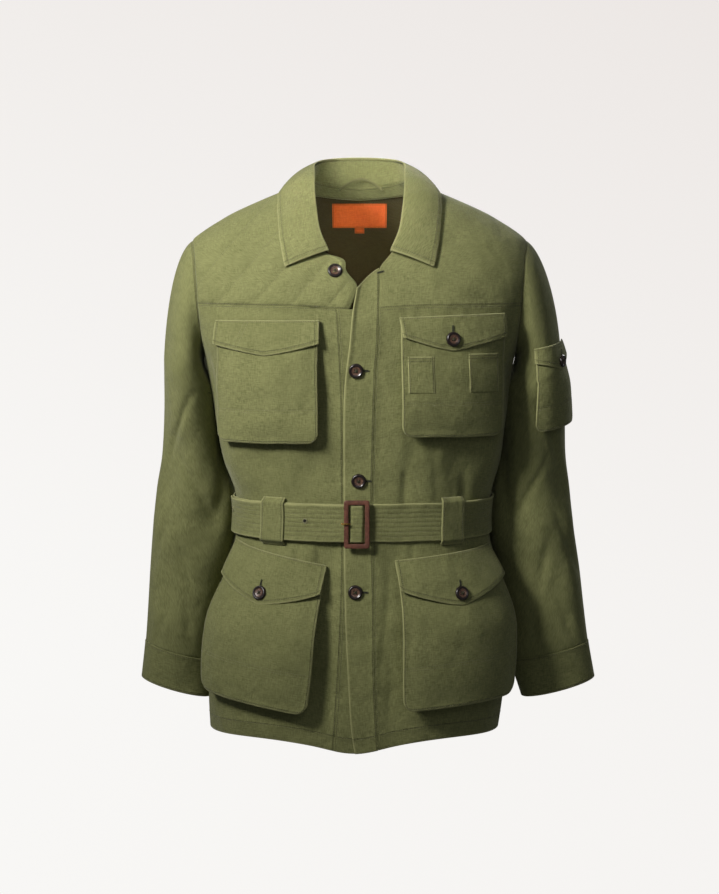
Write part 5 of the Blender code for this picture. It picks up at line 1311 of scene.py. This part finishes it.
def arms(word, side):
    """A sleeve and its doubled cuff, with the cuff's seam and hem lines."""
    turn = np.arange(0.0, 360.0, 3.75)[None, :]
    seam = way_of(CUFF_SEAM_Z)
    half_gap = SEAM / 2 / (CAP_Z - CUFF_END_Z)
    way = np.concatenate([spaced(0.0, 1.0, 44)[:-1], spaced(1.0, seam - half_gap, 96)])[:, None]
    shell("sleeve_cloth_" + word, sleeve_cloth(side, turn, way, 0.0), SHELL, BOTH, seams=(("low", SEAM_SEWN),),
          ring=True, centre=None, node="sleeve_" + word)
    way = spaced(seam + half_gap, 2.0, 20)[:, None]
    shell("cuff_cloth_" + word, sleeve_cloth(side, turn, way, CUFF_RISE), SHELL * DOUBLED_SHELL, BOTH,
          seams=(("low", SEAM_SEWN), ("top", 0.0022)), folded=("top",), ring=True, centre=None, node="cuff_" + word)


def collar():
    """The stand on the neck seam and the fall turned down over it, its edges sewn 6 mm in."""
    turn = spaced(-1.0, 1.0, 154)[None, :]
    shell("collar_stand_cloth", collar_stand(turn, spaced(0.0, 1.0, 16)[:, None]), SHELL * DOUBLED_SHELL, [OLIVE],
          centre=(0.0, -0.01), node="collar_stand")
    shell("collar_fall_cloth", collar_fall(turn, spaced(0.0, 1.0, 36)[:, None]), SHELL * DOUBLED_SHELL, [OLIVE],
          seams=(("top", COLLAR_SEWN), ("left", COLLAR_SEWN), ("right", COLLAR_SEWN)),
          folded=("top", "left", "right", "low"),
          centre=(0.0, -0.01), node="collar_fall")


def corner_grid(width, height, radius, columns, rows):
    """Shares of the width and height on an even grid, with its two lower corners pressed round."""
    u, v = np.meshgrid(spaced(0.0, width, columns), spaced(0.0, height, rows))
    u, v = rounded(u, v, width, height, radius)
    return u / width, v / height


def bag(node, place, width, height, radius, stand, band):
    """A bellows bag: a face with a pinched, sewn edge and a band across, and below that edge a wall folded inwards
    like a bellows down to the panel."""
    columns, rows = 54, 70
    s, t = corner_grid(width, height, radius, columns, rows)
    u_edge = np.minimum(s, 1 - s) * width
    low_edge = (1 - t) * height
    border = np.minimum(u_edge, low_edge)
    belly = BAG_BELLY * ease(0.0, 0.030, border)
    groove = BAND_GROOVE * np.exp(-(((t * height - band) / 0.0010) ** 2)) * ease(0.0, 0.004, u_edge)
    points = place(s, t, stand(t) + belly - groove + BAG_LIFT)
    seams = (("left", EDGE_SEWN), ("right", EDGE_SEWN), ("top", EDGE_SEWN))
    normal = shell(node + "_face", points, SHELL * BAG_SHELL, [OLIVE], seams=seams,
                   folded=("left", "right", "top"), node=node)
    for shift in BAND_SEWN:
        field = t * height - band - shift
        at, out, _, _ = crossing(field, points, normal, 0)
        SEWN.append((at + out * (SHELL * BAG_SHELL / 2 + THREAD_LIFT), out))
    path_i = np.concatenate([np.arange(rows), np.full(columns - 1, rows - 1), np.arange(rows - 2, -1, -1)])
    path_j = np.concatenate([np.zeros(rows, int), np.arange(1, columns), np.full(rows - 1, columns - 1)])
    edge_s, edge_t = s[path_i, path_j], t[path_i, path_j]
    down = spaced(0.0, 1.0, 10)[:, None]
    fold = BELLOWS_INSET + BELLOWS_FOLD * np.sin(np.pi * np.clip(down * 1.15, 0.0, 1.0)) ** 2
    in_s = edge_s + np.sign(0.5 - edge_s) * np.minimum(fold / width, np.abs(0.5 - edge_s)) * (
        np.abs(edge_s - 0.5) > 0.5 - radius / width)
    in_t = edge_t - fold / height * (edge_t > 1 - radius / height)
    high = stand(edge_t) - 0.0003
    offset = LIE + CLOTH * 0.7 + (high - LIE - CLOTH * 0.7) * (1 - down)
    wall_points = place(in_s, in_t, offset)
    centre = points.reshape(-1, 3).mean(axis=0)
    shell(node + "_bellows", wall_points, SHELL, [OLIVE], centre=(centre[0], centre[1]))


def flap_piece(node, surface):
    """A pointed flap with its edge sewn 5 mm in."""
    s, t = spaced(0.0, 1.0, 71)[None, :], spaced(0.0, 1.0, 30)[:, None]
    shell(node + "_cloth", surface(s, t), SHELL * FLAP_SHELL, [OLIVE],
          seams=(("left", FLAP_SEWN), ("right", FLAP_SEWN), ("top", FLAP_SEWN), ("low", 0.0018)),
          folded=("left", "right", "top", "low"), node=node)


def body_pockets():
    """The four bellows bags and pointed flaps of the body, and the two pen pockets on the left chest bag."""
    for name, row in POCKETS.items():
        width, height = bag_size(row)
        band = height * BAG_BANDS[name]
        bag(name, bag_place(row), width, height, row[11], bag_stand(row[9], row[10]), band)
    for name, row in FLAPS.items():
        def surface(s, t, row=row):
            angle, z, offset = flap_grid(row, s, t)
            return on_body(angle, z, offset + 0.0006 * np.sin(np.pi * s) * t * (1 - t))

        flap_piece(name, surface)
        if name == "chest_flap_right":
            for shift in (0.0, 0.032):
                share, way = spaced(0.706, 0.785, 30) + shift, spaced(0.04, 0.94, 30)
                out = -row[0] * across(surface, share, way, *FLAP_STEPS)
                SEWN.append((surface(share, way) + out * 0.0009, out))
    row = POCKETS["chest_bag_left"]
    place, stand = bag_place(row), bag_stand(row[9], row[10])
    for name, (s_from, s_to, t_from, t_to) in PEN_POCKETS.items():
        s, t = np.meshgrid(spaced(s_from, s_to, 22), spaced(t_from, t_to, 34))
        shell(name + "_cloth", place(s, t, stand(t) + PEN_LIFT), PEN_WALL, [OLIVE],
              seams=(("left", 0.0020), ("right", 0.0020), ("low", 0.0060), ("low", 0.0020)),
              folded=("left", "right", "low"), node=name)


def sleeve_pocket():
    """The bag and flap on the left upper sleeve."""
    inner, outer = SLEEVE_POCKET_TURNS

    def place(s, t, offset):
        turn = inner + (outer - inner) * s
        top, bottom = between(SLEEVE_BAG_TOP, s), between(SLEEVE_BAG_LOW, s)
        return on_sleeve(1, turn, sleeve_way(1, turn, top + (bottom - top) * t), offset)

    height = SLEEVE_BAG_TOP[0] - SLEEVE_BAG_LOW[0]
    bag("sleeve_bag", place, SLEEVE_BAG_WIDTH, height, SLEEVE_BAG_CORNER, bag_stand(*SLEEVE_BAG_STAND),
        height * 0.68)

    def grid(s, t):
        turn = inner + SLEEVE_FLAP_SIDE + (outer - inner - 2 * SLEEVE_FLAP_SIDE) * s
        point, point_depth = SLEEVE_FLAP_POINT
        rise = np.where(s < point, s / point, (1 - s) / (1 - point))
        top, low = between(SLEEVE_FLAP_TOP, s), between(SLEEVE_FLAP_LOW, s) - point_depth * rise
        way = sleeve_way(1, turn, top + (low - top) * t)
        return on_sleeve(1, turn, way, FLAP_START + (SLEEVE_FLAP_LIFT - FLAP_START) * t ** FLAP_OPENING)

    flap_piece("sleeve_flap", grid)
    share, z, height = SLEEVE_BUTTON
    turn = inner + (outer - inner) * share
    way = sleeve_way(1, turn, z)
    seat, above = (on_sleeve(1, turn, way, height + more) for more in (0.0, 0.01))
    button("button_sleeve", seat, above - seat, SMALL_BUTTON_RADIUS)
    buttonhole("button_sleeve", seat, above - seat, np.array([0.0, 0.0, 1.0]), 0.0165)


def frame_of(out, up_hint):
    """Three unit directions: across, up and out, from the outward one and a hint for up."""
    out = np.asarray(out, dtype=float) / np.linalg.norm(out)
    across_it = np.cross(up_hint, out)
    across_it /= np.linalg.norm(across_it)
    return across_it, np.cross(out, across_it), out


def button(name, seat, out, radius):
    """A horn button: height as a function of radius and turn, with a round raised rim, a dished middle and four
    deep holes, and the same grid below as a flat back. Thread crosses between the holes."""
    across_it, up, out = frame_of(out, np.array([0.0, 0.0, 1.0]))
    share = np.concatenate([spaced(0.02, 0.46, 20), spaced(0.50, 1.0, 13)])[:, None]
    turn = spaced(0.0, 2 * math.pi, 57)[:-1][None, :]
    rim = BUTTON_RIM * np.exp(-(((share - 0.80) / 0.13) ** 2)) - BUTTON_RIM * ease(0.88, 1.0, share) ** 2
    high = BUTTON_HEIGHT + rim - BUTTON_DISH * (1 - ease(0.40, 0.66, share))
    x, y = share * np.cos(turn) * radius, share * np.sin(turn) * radius
    reach = HOLE_REACH * radius
    for side in (-1, 1):
        for above in (-1, 1):
            away = np.hypot(x - side * reach, y - above * reach)
            high = high - HOLE_DEPTH * (1 - ease(HOLE_SIZES[0] * radius, HOLE_SIZES[1] * radius, away))
    # Mask of the painted shade in the holes: 1 where the surface sinks deep
    hole = ease(0.0017, 0.0010, high) * (share < 0.5)
    rows, columns = high.shape
    top = seat + x[..., None] * across_it + y[..., None] * up + high[..., None] * out
    flat = share[::-1] * np.ones_like(turn)
    low = seat + (flat * np.cos(turn) * radius)[..., None] * across_it + (flat * np.sin(turn) * radius)[..., None] * up
    points = np.concatenate([top, low])
    index = np.arange(2 * rows * columns).reshape(2 * rows, columns)
    index = np.concatenate([index, index[:, :1]], axis=1)
    faces = quads(index[:-1, :-1], index[1:, :-1], index[1:, 1:], index[:-1, 1:])
    vertices = np.concatenate([points.reshape(-1, 3), [seat + out * 0.0019, seat]])
    count = 2 * rows * columns
    ring = np.arange(columns)
    ahead = (ring + 1) % columns
    caps = np.concatenate([np.stack([np.full(columns, count), ring, ahead], axis=-1),
                           np.stack([np.full(columns, count + 1), count - columns + ahead, count - columns + ring],
                                    axis=-1)])
    # The lighter middle, set to nought in the holes: painted shade
    middle = np.where(share < 0.62, 1.0, 0.0) * (1 - ease(0.55, 0.68, share)) * (1 - hole)
    marks = np.concatenate([np.broadcast_to(middle, (rows, columns)).ravel(), np.zeros(rows * columns), [1.0, 0.0]])
    piece = mesh_object(name + "_horn", vertices, faces, [HORN], marks={"middle": marks}, caps=caps)
    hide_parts(name)
    crossing_thread = []
    for side in (-1, 1):
        for nudge in (-1, 1):
            shift = nudge * 0.00022
            path = spaced(-1.0, 1.0, 9)[:, None]
            bow = 0.00045 * (1 - path ** 2) + 0.0022 + (side > 0) * 0.0003
            crossing_thread.append(seat + (path * reach + shift) * across_it + (path * reach * side - shift * side) * up
                                   + bow * out)
    threads = [tube_grid(path, BUTTON_THREAD, 6) for path in crossing_thread]
    joined_tubes(name + "_thread", threads, DARK_THREAD)


def tube_grid(path, radius, sides, flat=1.0, up=None):
    """A tube round a path: rings of points square to it, FLAT times as wide as high."""
    path = np.asarray(path, dtype=float)
    along = np.gradient(path, axis=0)
    along /= np.maximum(np.linalg.norm(along, axis=1, keepdims=True), 1e-12)
    hint = np.array([0.3, 0.5, 0.81]) if up is None else np.asarray(up, dtype=float)
    side = np.cross(along, hint)
    side /= np.maximum(np.linalg.norm(side, axis=1, keepdims=True), 1e-9)
    rise = np.cross(side, along)
    turn = np.arange(sides) * 2 * math.pi / sides
    size = np.broadcast_to(radius, (len(path),))[:, None, None]
    return (path[:, None] + side[:, None] * np.cos(turn)[None, :, None] * size * flat
            + rise[:, None] * np.sin(turn)[None, :, None] * size)


def joined_tubes(name, grids, finish, looped=False):
    """One mesh of several tubes. Each is closed at its ends by a face, or joined head to tail."""
    vertices, faces, caps, start = [], [], [], 0
    for grid in grids:
        rows, sides = grid.shape[:2]
        index = start + np.arange(rows * sides).reshape(rows, sides)
        wrapped = np.concatenate([index, index[:, :1]], axis=1)
        if looped:
            wrapped = np.concatenate([wrapped, wrapped[:1]])
        faces += quads(wrapped[:-1, 1:], wrapped[:-1, :-1], wrapped[1:, :-1], wrapped[1:, 1:]).tolist()
        if not looped:
            caps += [index[0].tolist(), index[-1, ::-1].tolist()]
        vertices.append(grid.reshape(-1, 3))
        start += rows * sides
    mesh = bpy.data.meshes.new(name)
    mesh.from_pydata(np.concatenate(vertices).tolist(), [], faces + caps)
    mesh.materials.append(finish)
    mesh.shade_smooth()
    mesh.set_sharp_from_angle(angle=math.radians(50.0))
    piece = placed(name, mesh)
    outwards(mesh)
    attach(piece, "root")
    return piece


def outwards(mesh):
    """Turns a closed mesh's faces outwards."""
    work = bmesh.new()
    work.from_mesh(mesh)
    bmesh.ops.recalc_face_normals(work, faces=work.faces)
    work.to_mesh(mesh)
    work.free()


def buttonhole(name, seat, out, along, reach):
    """A worked buttonhole that shows past its button: a long loop of thread round a dark slit of painted shadow, on
    the cloth under the button; ALONG is its direction from the button's middle and REACH its far end."""
    out = np.asarray(out, dtype=float) / np.linalg.norm(out)
    along = along - out * (along @ out)
    along = along / np.linalg.norm(along)
    side = np.cross(out, along)
    turn = spaced(0.0, 2 * math.pi, 49)[:-1]
    half, wide = reach / 2 + 0.001, BUTTONHOLE_WIDE
    x = np.clip(np.cos(turn) * 3.0, -1.0, 1.0) * (half - wide) + np.cos(turn) * wide + half - 0.002
    y = np.sin(turn) * wide
    y = np.where(np.abs(np.cos(turn) * 3.0) < 1.0, np.sign(y) * wide, y)
    path = seat - out * 0.0002 + x[:, None] * along + y[:, None] * side
    ridged = BUTTONHOLE_THREAD * (1 + 0.22 * np.cos(turn * BUTTONHOLE_RIDGES))
    grid = tube_grid(path, ridged, 8, up=out)
    joined_tubes(name + "_hole_thread", [grid], DARK_THREAD, looped=True)
    # The slit: a flat dark tube of painted shadow
    slit = spaced(-0.001, reach - 0.001, 12)
    path = seat - out * BUTTONHOLE_THREAD + slit[:, None] * along
    joined_tubes(name + "_hole_slit", [tube_grid(path, SLIT_RADIUS, 8, flat=1.5, up=out)], SHADOW_CLOTH)


def buttons():
    """The front's four buttons, the three on the body's flaps, and their buttonholes."""
    for name, (x, z, layer) in FRONT_BUTTONS.items():
        angle = angle_at(x, z)
        height = PLACKET_OFFSET + DOUBLED / 2 if layer == "placket" else CLOTH / 2 - float(underlap_sink(z))
        seat, above = (on_body(angle, z, height + lift) for lift in (BUTTON_GAP, 0.01))
        button(name, seat, above - seat, BUTTON_RADIUS)
        if layer == "placket":
            buttonhole(name, seat, above - seat, np.array([1.0, 0.0, 0.0]), 0.0175)
    x, z = COLLAR_HOLE
    seat, above = (on_body(angle_at(x, z), z, PLACKET_OFFSET + DOUBLED / 2 + lift) for lift in (0.0002, 0.01))
    buttonhole("collar", seat, above - seat, np.array([1.0, 0.0, 0.35]), 0.0080)
    for name, (flap_name, share, z) in FLAP_BUTTONS.items():
        def surface(s, t, row=FLAPS[flap_name]):
            return on_body(*flap_grid(row, s, t))

        shares = spaced(0.05, 0.95, 50)
        way = np.interp(-z, -surface(share, shares)[:, 2], shares)
        out = -FLAPS[flap_name][0] * across(surface, share, way, *FLAP_STEPS)
        seat = surface(share, way) + out * (CLOTH / 2 + BUTTON_GAP + 0.0004)
        button(name, seat, out, BUTTON_RADIUS)
        buttonhole(name, seat, out, np.array([0.0, 0.0, 1.0]), 0.0185)


def belt_rows(z):
    """The belt's seven sewn rows as grooves, by height on the belt."""
    share = (z - BELT_BOTTOM) / (BELT_TOP - BELT_BOTTOM)
    row = share * BELT_SPACES
    near = np.abs(row - np.round(row)) / BELT_SPACES * (BELT_TOP - BELT_BOTTOM)
    inside = (row > 0.5) & (row < BELT_SPACES - 0.5)
    return -BELT_ROW_DEPTH * np.exp(-((near / BELT_ROW_WIDTH) ** 2)) * inside


def belt():
    """The belt round the waist with its free end over it, both sewn in rows, and the four loops."""
    angle = spaced(0.0, 360.0, 241)[:-1][None, :]
    z = spaced(BELT_BOTTOM, BELT_TOP, 41)[:, None]
    wave = BELT_WAVE * np.sin(np.radians(angle * 9)) * np.cos(np.radians(angle * 4))
    points = on_body(angle, z + wave, BELT_OFFSET + belt_rows(z) + 0.0 * angle)
    shell("belt_cloth", points, BELT_WALL, [OLIVE], folded=("low", "top"), ring=True, node="belt")
    for k in range(1, BELT_SPACES):
        level = BELT_BOTTOM + (BELT_TOP - BELT_BOTTOM) * k / BELT_SPACES
        at = on_body(angle[0], level + wave[0], BELT_OFFSET + BELT_WALL / 2 - BELT_SEW_SINK)
        out = across(body, angle[0], np.full(angle.shape[1], level), *BODY_STEPS)
        SEWN.append((at, out))
    centre = float(angle_at(BUCKLE_X, BUCKLE_Z))
    window = float(degrees_for(BUCKLE_WIDTH / 2 - BUCKLE_BAR - SEAM, centre, BUCKLE_Z))
    reach = float(degrees_for(STRAP_REACH, centre, BUCKLE_Z))
    columns = np.concatenate([spaced(BELT_END_ANGLE, centre - reach, 90)[:-1],
                              spaced(centre - reach, centre + reach, 30)])
    raised = STRAP_RAISE * (1 - ease(0.55, 1.0, np.abs(columns - centre) / window))
    degrees, narrowest = BELT_END_TAPER
    taper = narrowest + (1 - narrowest) * ease(BELT_END_ANGLE, BELT_END_ANGLE + degrees, columns)
    middle, half = (BELT_TOP + BELT_BOTTOM) / 2, (BELT_TOP - BELT_BOTTOM) / 2 - BELT_END_INSET
    z = middle + spaced(-1.0, 1.0, 41)[:, None] * half * taper[None, :]
    offset = BELT_OFFSET + BELT_LAYER + raised + belt_rows(middle + spaced(-1.0, 1.0, 41)[:, None] * half)
    shell("belt_end_cloth", on_body(columns[None, :], z, offset), BELT_WALL, [OLIVE],
          folded=("low", "top", "left"), node="belt_end")
    for k in range(1, BELT_SPACES):
        z = middle + (2 * k / BELT_SPACES - 1.0) * half * taper
        at = on_body(columns, z, BELT_OFFSET + BELT_LAYER + raised + BELT_WALL / 2 - BELT_SEW_SINK)
        SEWN.append((at, across(body, columns, z, *BODY_STEPS)))
    for name, middle_angle in BELT_LOOPS.items():
        doubled = name.endswith("front_right")
        belt_loop(name, middle_angle, BELT_OFFSET + BELT_WALL / 2 + (BELT_LAYER if doubled else 0.0) + LIE)


def belt_loop(name, middle, low):
    """A strap over the belt, bowed out over it and turned in to the body at its two ends."""
    half = float(degrees_for(LOOP_HALF_WIDTH, middle, BUCKLE_Z))
    angle = spaced(middle - half, middle + half, 26)[None, :]
    share = spaced(0.0, 1.0, 60)[:, None]
    z = LOOP_BOTTOM + (LOOP_TOP - LOOP_BOTTOM) * share
    foot = CLOTH / 2 + LIE + SEAM + LOOP_FOOT
    bowed = np.minimum(ease(0.0, 0.10, share), ease(1.0, 0.90, share))
    offset = foot + (low + CLOTH / 2 - foot) * bowed + 0.0 * angle
    shell(name + "_cloth", on_body(angle, z, offset), CLOTH * 0.95, [OLIVE],
          seams=(("left", 0.0030), ("right", 0.0030)), folded=("left", "right", "low", "top"), node=name)


def rounded_outline(width, height, corner, per_corner=14, per_side=22):
    """A closed outline of a rectangle with round corners, evenly pointed on each side and corner."""
    points = []
    for quarter in range(4):
        right = 1.0 if quarter in (0, 3) else -1.0
        up = 1.0 if quarter in (0, 1) else -1.0
        turn = np.radians(90.0 * quarter + spaced(0.0, 90.0, per_corner))
        points.append(np.stack([right * (width / 2 - corner) + corner * np.cos(turn),
                                up * (height / 2 - corner) + corner * np.sin(turn)], axis=-1))
    loops = []
    for quarter in range(4):
        start, end = points[quarter][-1], points[(quarter + 1) % 4][0]
        share = spaced(0.0, 1.0, per_side)[1:-1, None]
        loops += [points[quarter], start + (end - start) * share]
    return np.concatenate(loops)


def buckle():
    """The leather-covered frame: a rounded section between the inner and the outer outline; the brass prong over
    its side bar; and the belt's two sewn eyelets."""
    strap = BELT_OFFSET + BELT_LAYER + BELT_WALL / 2
    seat = on_body(angle_at(BUCKLE_X, BUCKLE_Z), BUCKLE_Z, strap + BUCKLE_GAP + BUCKLE_THICK / 2)
    outer = rounded_outline(BUCKLE_WIDTH, BUCKLE_HEIGHT, 0.0036)
    inner = rounded_outline(BUCKLE_WIDTH - 2 * BUCKLE_BAR, BUCKLE_HEIGHT - 2 * BUCKLE_BAR, 0.0018)
    turn = np.arange(20) * 2 * math.pi / 20
    c, s = np.cos(turn), np.sin(turn)
    wide, high = np.sign(c) * np.abs(c) ** 0.55, np.sign(s) * np.abs(s) ** 0.55
    share = ((1 + wide) / 2)[None, :, None]
    flat = inner[:, None] * (1 - share) + outer[:, None] * share
    crown = (high * BUCKLE_THICK / 2)[None, :]
    grid = np.stack([seat[0] + flat[..., 0], seat[1] - crown + 0.0 * flat[..., 0], seat[2] + flat[..., 1]], axis=-1)
    piece = joined_tubes("buckle_leather", [grid], LEATHER, looped=True)
    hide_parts("buckle")
    runs = []
    for inset in (0.14, 0.86):
        line = inner * (1 - inset) + outer * inset
        at = np.stack([seat[0] + line[:, 0], np.full(len(line), seat[1] - BUCKLE_THICK / 2 - 0.00002),
                       seat[2] + line[:, 1]], axis=-1)
        runs.append((at, np.tile([0.0, -1.0, 0.0], (len(at), 1))))
    sewn = thread("buckle_stitching", runs, LEATHER, pitch=0.0026, length=0.0018, radius=0.0002)
    prong_y = seat[1] - BUCKLE_THICK / 2 - PRONG_RADIUS - PRONG_GAP
    bar_x = BUCKLE_X - BUCKLE_WIDTH / 2
    x = spaced(bar_x + PRONG_REACH[0], bar_x + PRONG_REACH[1], 24)
    swell = PRONG_RADIUS * (1 - 0.45 * ease(0.55, 1.0, spaced(0.0, 1.0, 24)))
    swell[0], swell[-1] = swell[0] * 0.6, swell[-1] * 0.5
    dip = 0.0009 * ease(bar_x + 0.004, bar_x + 0.0095, x)
    path = np.stack([x, prong_y + dip, np.full(24, PRONG_Z)], axis=-1)
    pin = joined_tubes("prong_brass", [tube_grid(path, swell, 16, up=(0, -1, 0))], BRASS)
    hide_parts("prong")
    for name, (eyelet_angle, z) in EYELETS.items():
        seat = on_body(eyelet_angle, z, strap + 0.0004)
        above = on_body(eyelet_angle, z, strap + 0.01)
        across_it, up, out = frame_of(above - seat, np.array([0.0, 0.0, 1.0]))
        turn = np.arange(40) * 2 * math.pi / 40
        path = seat + EYELET_MAJOR * 0.72 * (np.cos(turn)[:, None] * across_it + np.sin(turn)[:, None] * up)
        ring = tube_grid(path, EYELET_MINOR * (1 + 0.12 * np.cos(turn * 20)), 8, up=out)
        piece = joined_tubes(name + "_thread", [ring], THREAD, looped=True)
        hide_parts(name)
        # A dark tube of painted shadow in the eyelet's hole
        path = seat + out * spaced(-0.0003, 0.00025, 4)[:, None]
        joined_tubes(name + "_hole", [tube_grid(path, EYELET_MAJOR * 0.5, 24, up=up)], SHADOW_CLOTH)


def neck_inside():
    """The facing, the bare label and size tab, and the hanger loop, all inside the back neck."""
    angle = spaced(*FACING_ANGLES, 120)[None, :]
    depth_share = 1 - spaced(0.0, 1.0, 12)[:, None]
    z = neck_level(angle) + FACING_RISE - (FACING_TOP + FACING_DEPTH + FACING_RISE) * depth_share
    depth = CLOTH / 2 + LIE + INSIDE_WALL / 2
    shell("neck_facing_cloth", on_body(angle, z, -depth), INSIDE_WALL, [OLIVE],
          seams=(("low", SEAM_SEWN), ("top", 0.0030)), folded=("low",), node="neck_facing")
    for name, width, levels, columns, rows in (("neck_label", LABEL_WIDTH, LABEL_LEVELS, 60, 28),
                                               ("size_tab", TAB_WIDTH, TAB_LEVELS, 14, 8)):
        z = spaced(levels[0], levels[1], rows)[:, None]
        angle = 180.0 + degrees_for(width / 2, 180.0, z) * spaced(-1.0, 1.0, columns)[None, :]
        shell(name + "_cloth", on_body(angle, z, -depth + 0.0 * z), INSIDE_WALL * 0.8, [LABEL],
              seams=(("low", 0.0012), ("top", 0.0012), ("left", 0.0012), ("right", 0.0012)), node=name,
              stitch=False)
    deep = CLOTH / 2 + 3 * LIE + INSIDE_WALL + LOOP_RADIUS + SEAM
    ends = [on_body(turn, LOOP_END_Z + LOOP_LIFT[0], -deep) for turn in LOOP_ENDS]
    share = spaced(0.0, 1.0, 48)[:, None]
    arch = np.sin(np.pi * share)
    path = ends[0] + (ends[1] - ends[0]) * share + np.array([0.0, LOOP_BACK, LOOP_ARCH + LOOP_LIFT[1]]) * arch
    piece = joined_tubes("hanger_loop_cloth", [tube_grid(path, LOOP_RADIUS, 14, flat=0.75, up=(0, 0, 1))], OLIVE)
    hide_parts("hanger_loop")


front("left", 1, PLACKET, 2, 0.0)
front("right", -1, UNDERLAP, 1, UNDERLAP_SINK)
front_yoke("left", 1, NECKLINE_LEFT, 0.0, False)
front_yoke("right", -1, NECKLINE_RIGHT, UNDERLAP_SINK, True)
back()
placket()
underlap()
arms("left", 1)
arms("right", -1)
collar()
body_pockets()
sleeve_pocket()
buttons()
belt()
buckle()
neck_inside()
thread("jacket_stitching", SEWN, THREAD)


def soft_light(name, place, aim, size, power, spread, colour):
    """A square soft lamp that looks at AIM and spreads over SPREAD degrees."""
    lamp = bpy.data.lights.new(name, "AREA")
    lamp.shape = "SQUARE"
    lamp.size = size
    lamp.energy = power
    lamp.spread = math.radians(spread)
    lamp.color = colour
    light = placed(name, lamp)
    light.location = place
    way = np.array(aim, dtype=float) - np.array(place, dtype=float)
    light.rotation_euler = (math.acos(-way[2] / np.linalg.norm(way)), 0.0, math.atan2(way[1], way[0]) - math.pi / 2)


def studio():
    """A pale floor that curves up all round into a plain wall, soft lamps, and the camera at the photograph's
    angle."""
    rows, columns = STUDIO_GRID
    turn = spaced(0.0, 2 * math.pi, columns)
    share = spaced(0.0, 1.0, rows)[:, None]
    closing = np.clip((share - STUDIO_CLOSE) / (1 - STUDIO_CLOSE), 0.0, 1.0)
    opening = np.where(share > STUDIO_CLOSE, np.sqrt(1 - closing ** 2), ease(0.0, 0.55, share))
    radius = STUDIO_RADIUS * opening
    z = STUDIO_FLOOR + STUDIO_RADIUS * ease(0.35, 1.0, share)
    points = np.stack([radius * np.cos(turn), radius * np.sin(turn), z + 0.0 * turn], axis=-1)
    index = np.arange(rows * columns).reshape(rows, columns)
    mesh = bpy.data.meshes.new("studio_floor")
    mesh.from_pydata(points.reshape(-1, 3).tolist(), [],
                     quads(index[:-1, :-1], index[1:, :-1], index[1:, 1:], index[:-1, 1:]).tolist())
    mesh.shade_smooth()
    n = Nodes("studio_finish")
    place = n.make("ShaderNodeTexCoord", output=3)
    split = n.tree.nodes.new("ShaderNodeSeparateXYZ")
    n.put(split.inputs[0], place)
    # Painted light on the backdrop: a glow that grows paler towards the bottom and the left
    slope = n.math("ADD", n.math("MULTIPLY", split.outputs[0], -0.42), n.math("MULTIPLY", split.outputs[2], -1.0))
    shade = n.mix(n.span(slope, -2.0, 2.8), STUDIO_TOP, STUDIO_LOW)
    n.finish(Base_Color=(0.0, 0.0, 0.0, 1.0), Emission_Color=shade, Emission_Strength=1.0, Specular_IOR_Level=0.0,
             Roughness=1.0)
    mesh.materials.append(n.material)
    wall = placed("studio_floor", mesh)
    wall.visible_diffuse = wall.visible_glossy = wall.visible_shadow = wall.visible_transmission = False
    world = bpy.data.worlds.new("studio_light")
    bpy.context.scene.world = world
    world.use_nodes = True
    sky = world.node_tree.nodes["Background"].inputs
    sky["Color"].default_value, sky["Strength"].default_value = WORLD_COLOUR, WORLD_STRENGTH
    for row in LAMPS:
        soft_light(*row)
    lens = bpy.data.cameras.new("photo_camera")
    lens.lens, lens.sensor_width = CAMERA_LENS, CAMERA_SENSOR
    lens.clip_start, lens.clip_end = CAMERA_CLIP
    camera = placed("photo_camera", lens)
    camera.location = CAMERA_PLACE
    camera.rotation_euler = (math.radians(90.0 - CAMERA_DOWN), 0.0, 0.0)
    bpy.context.scene.camera = camera
    bpy.context.scene.view_settings.view_transform = "Standard"


studio()
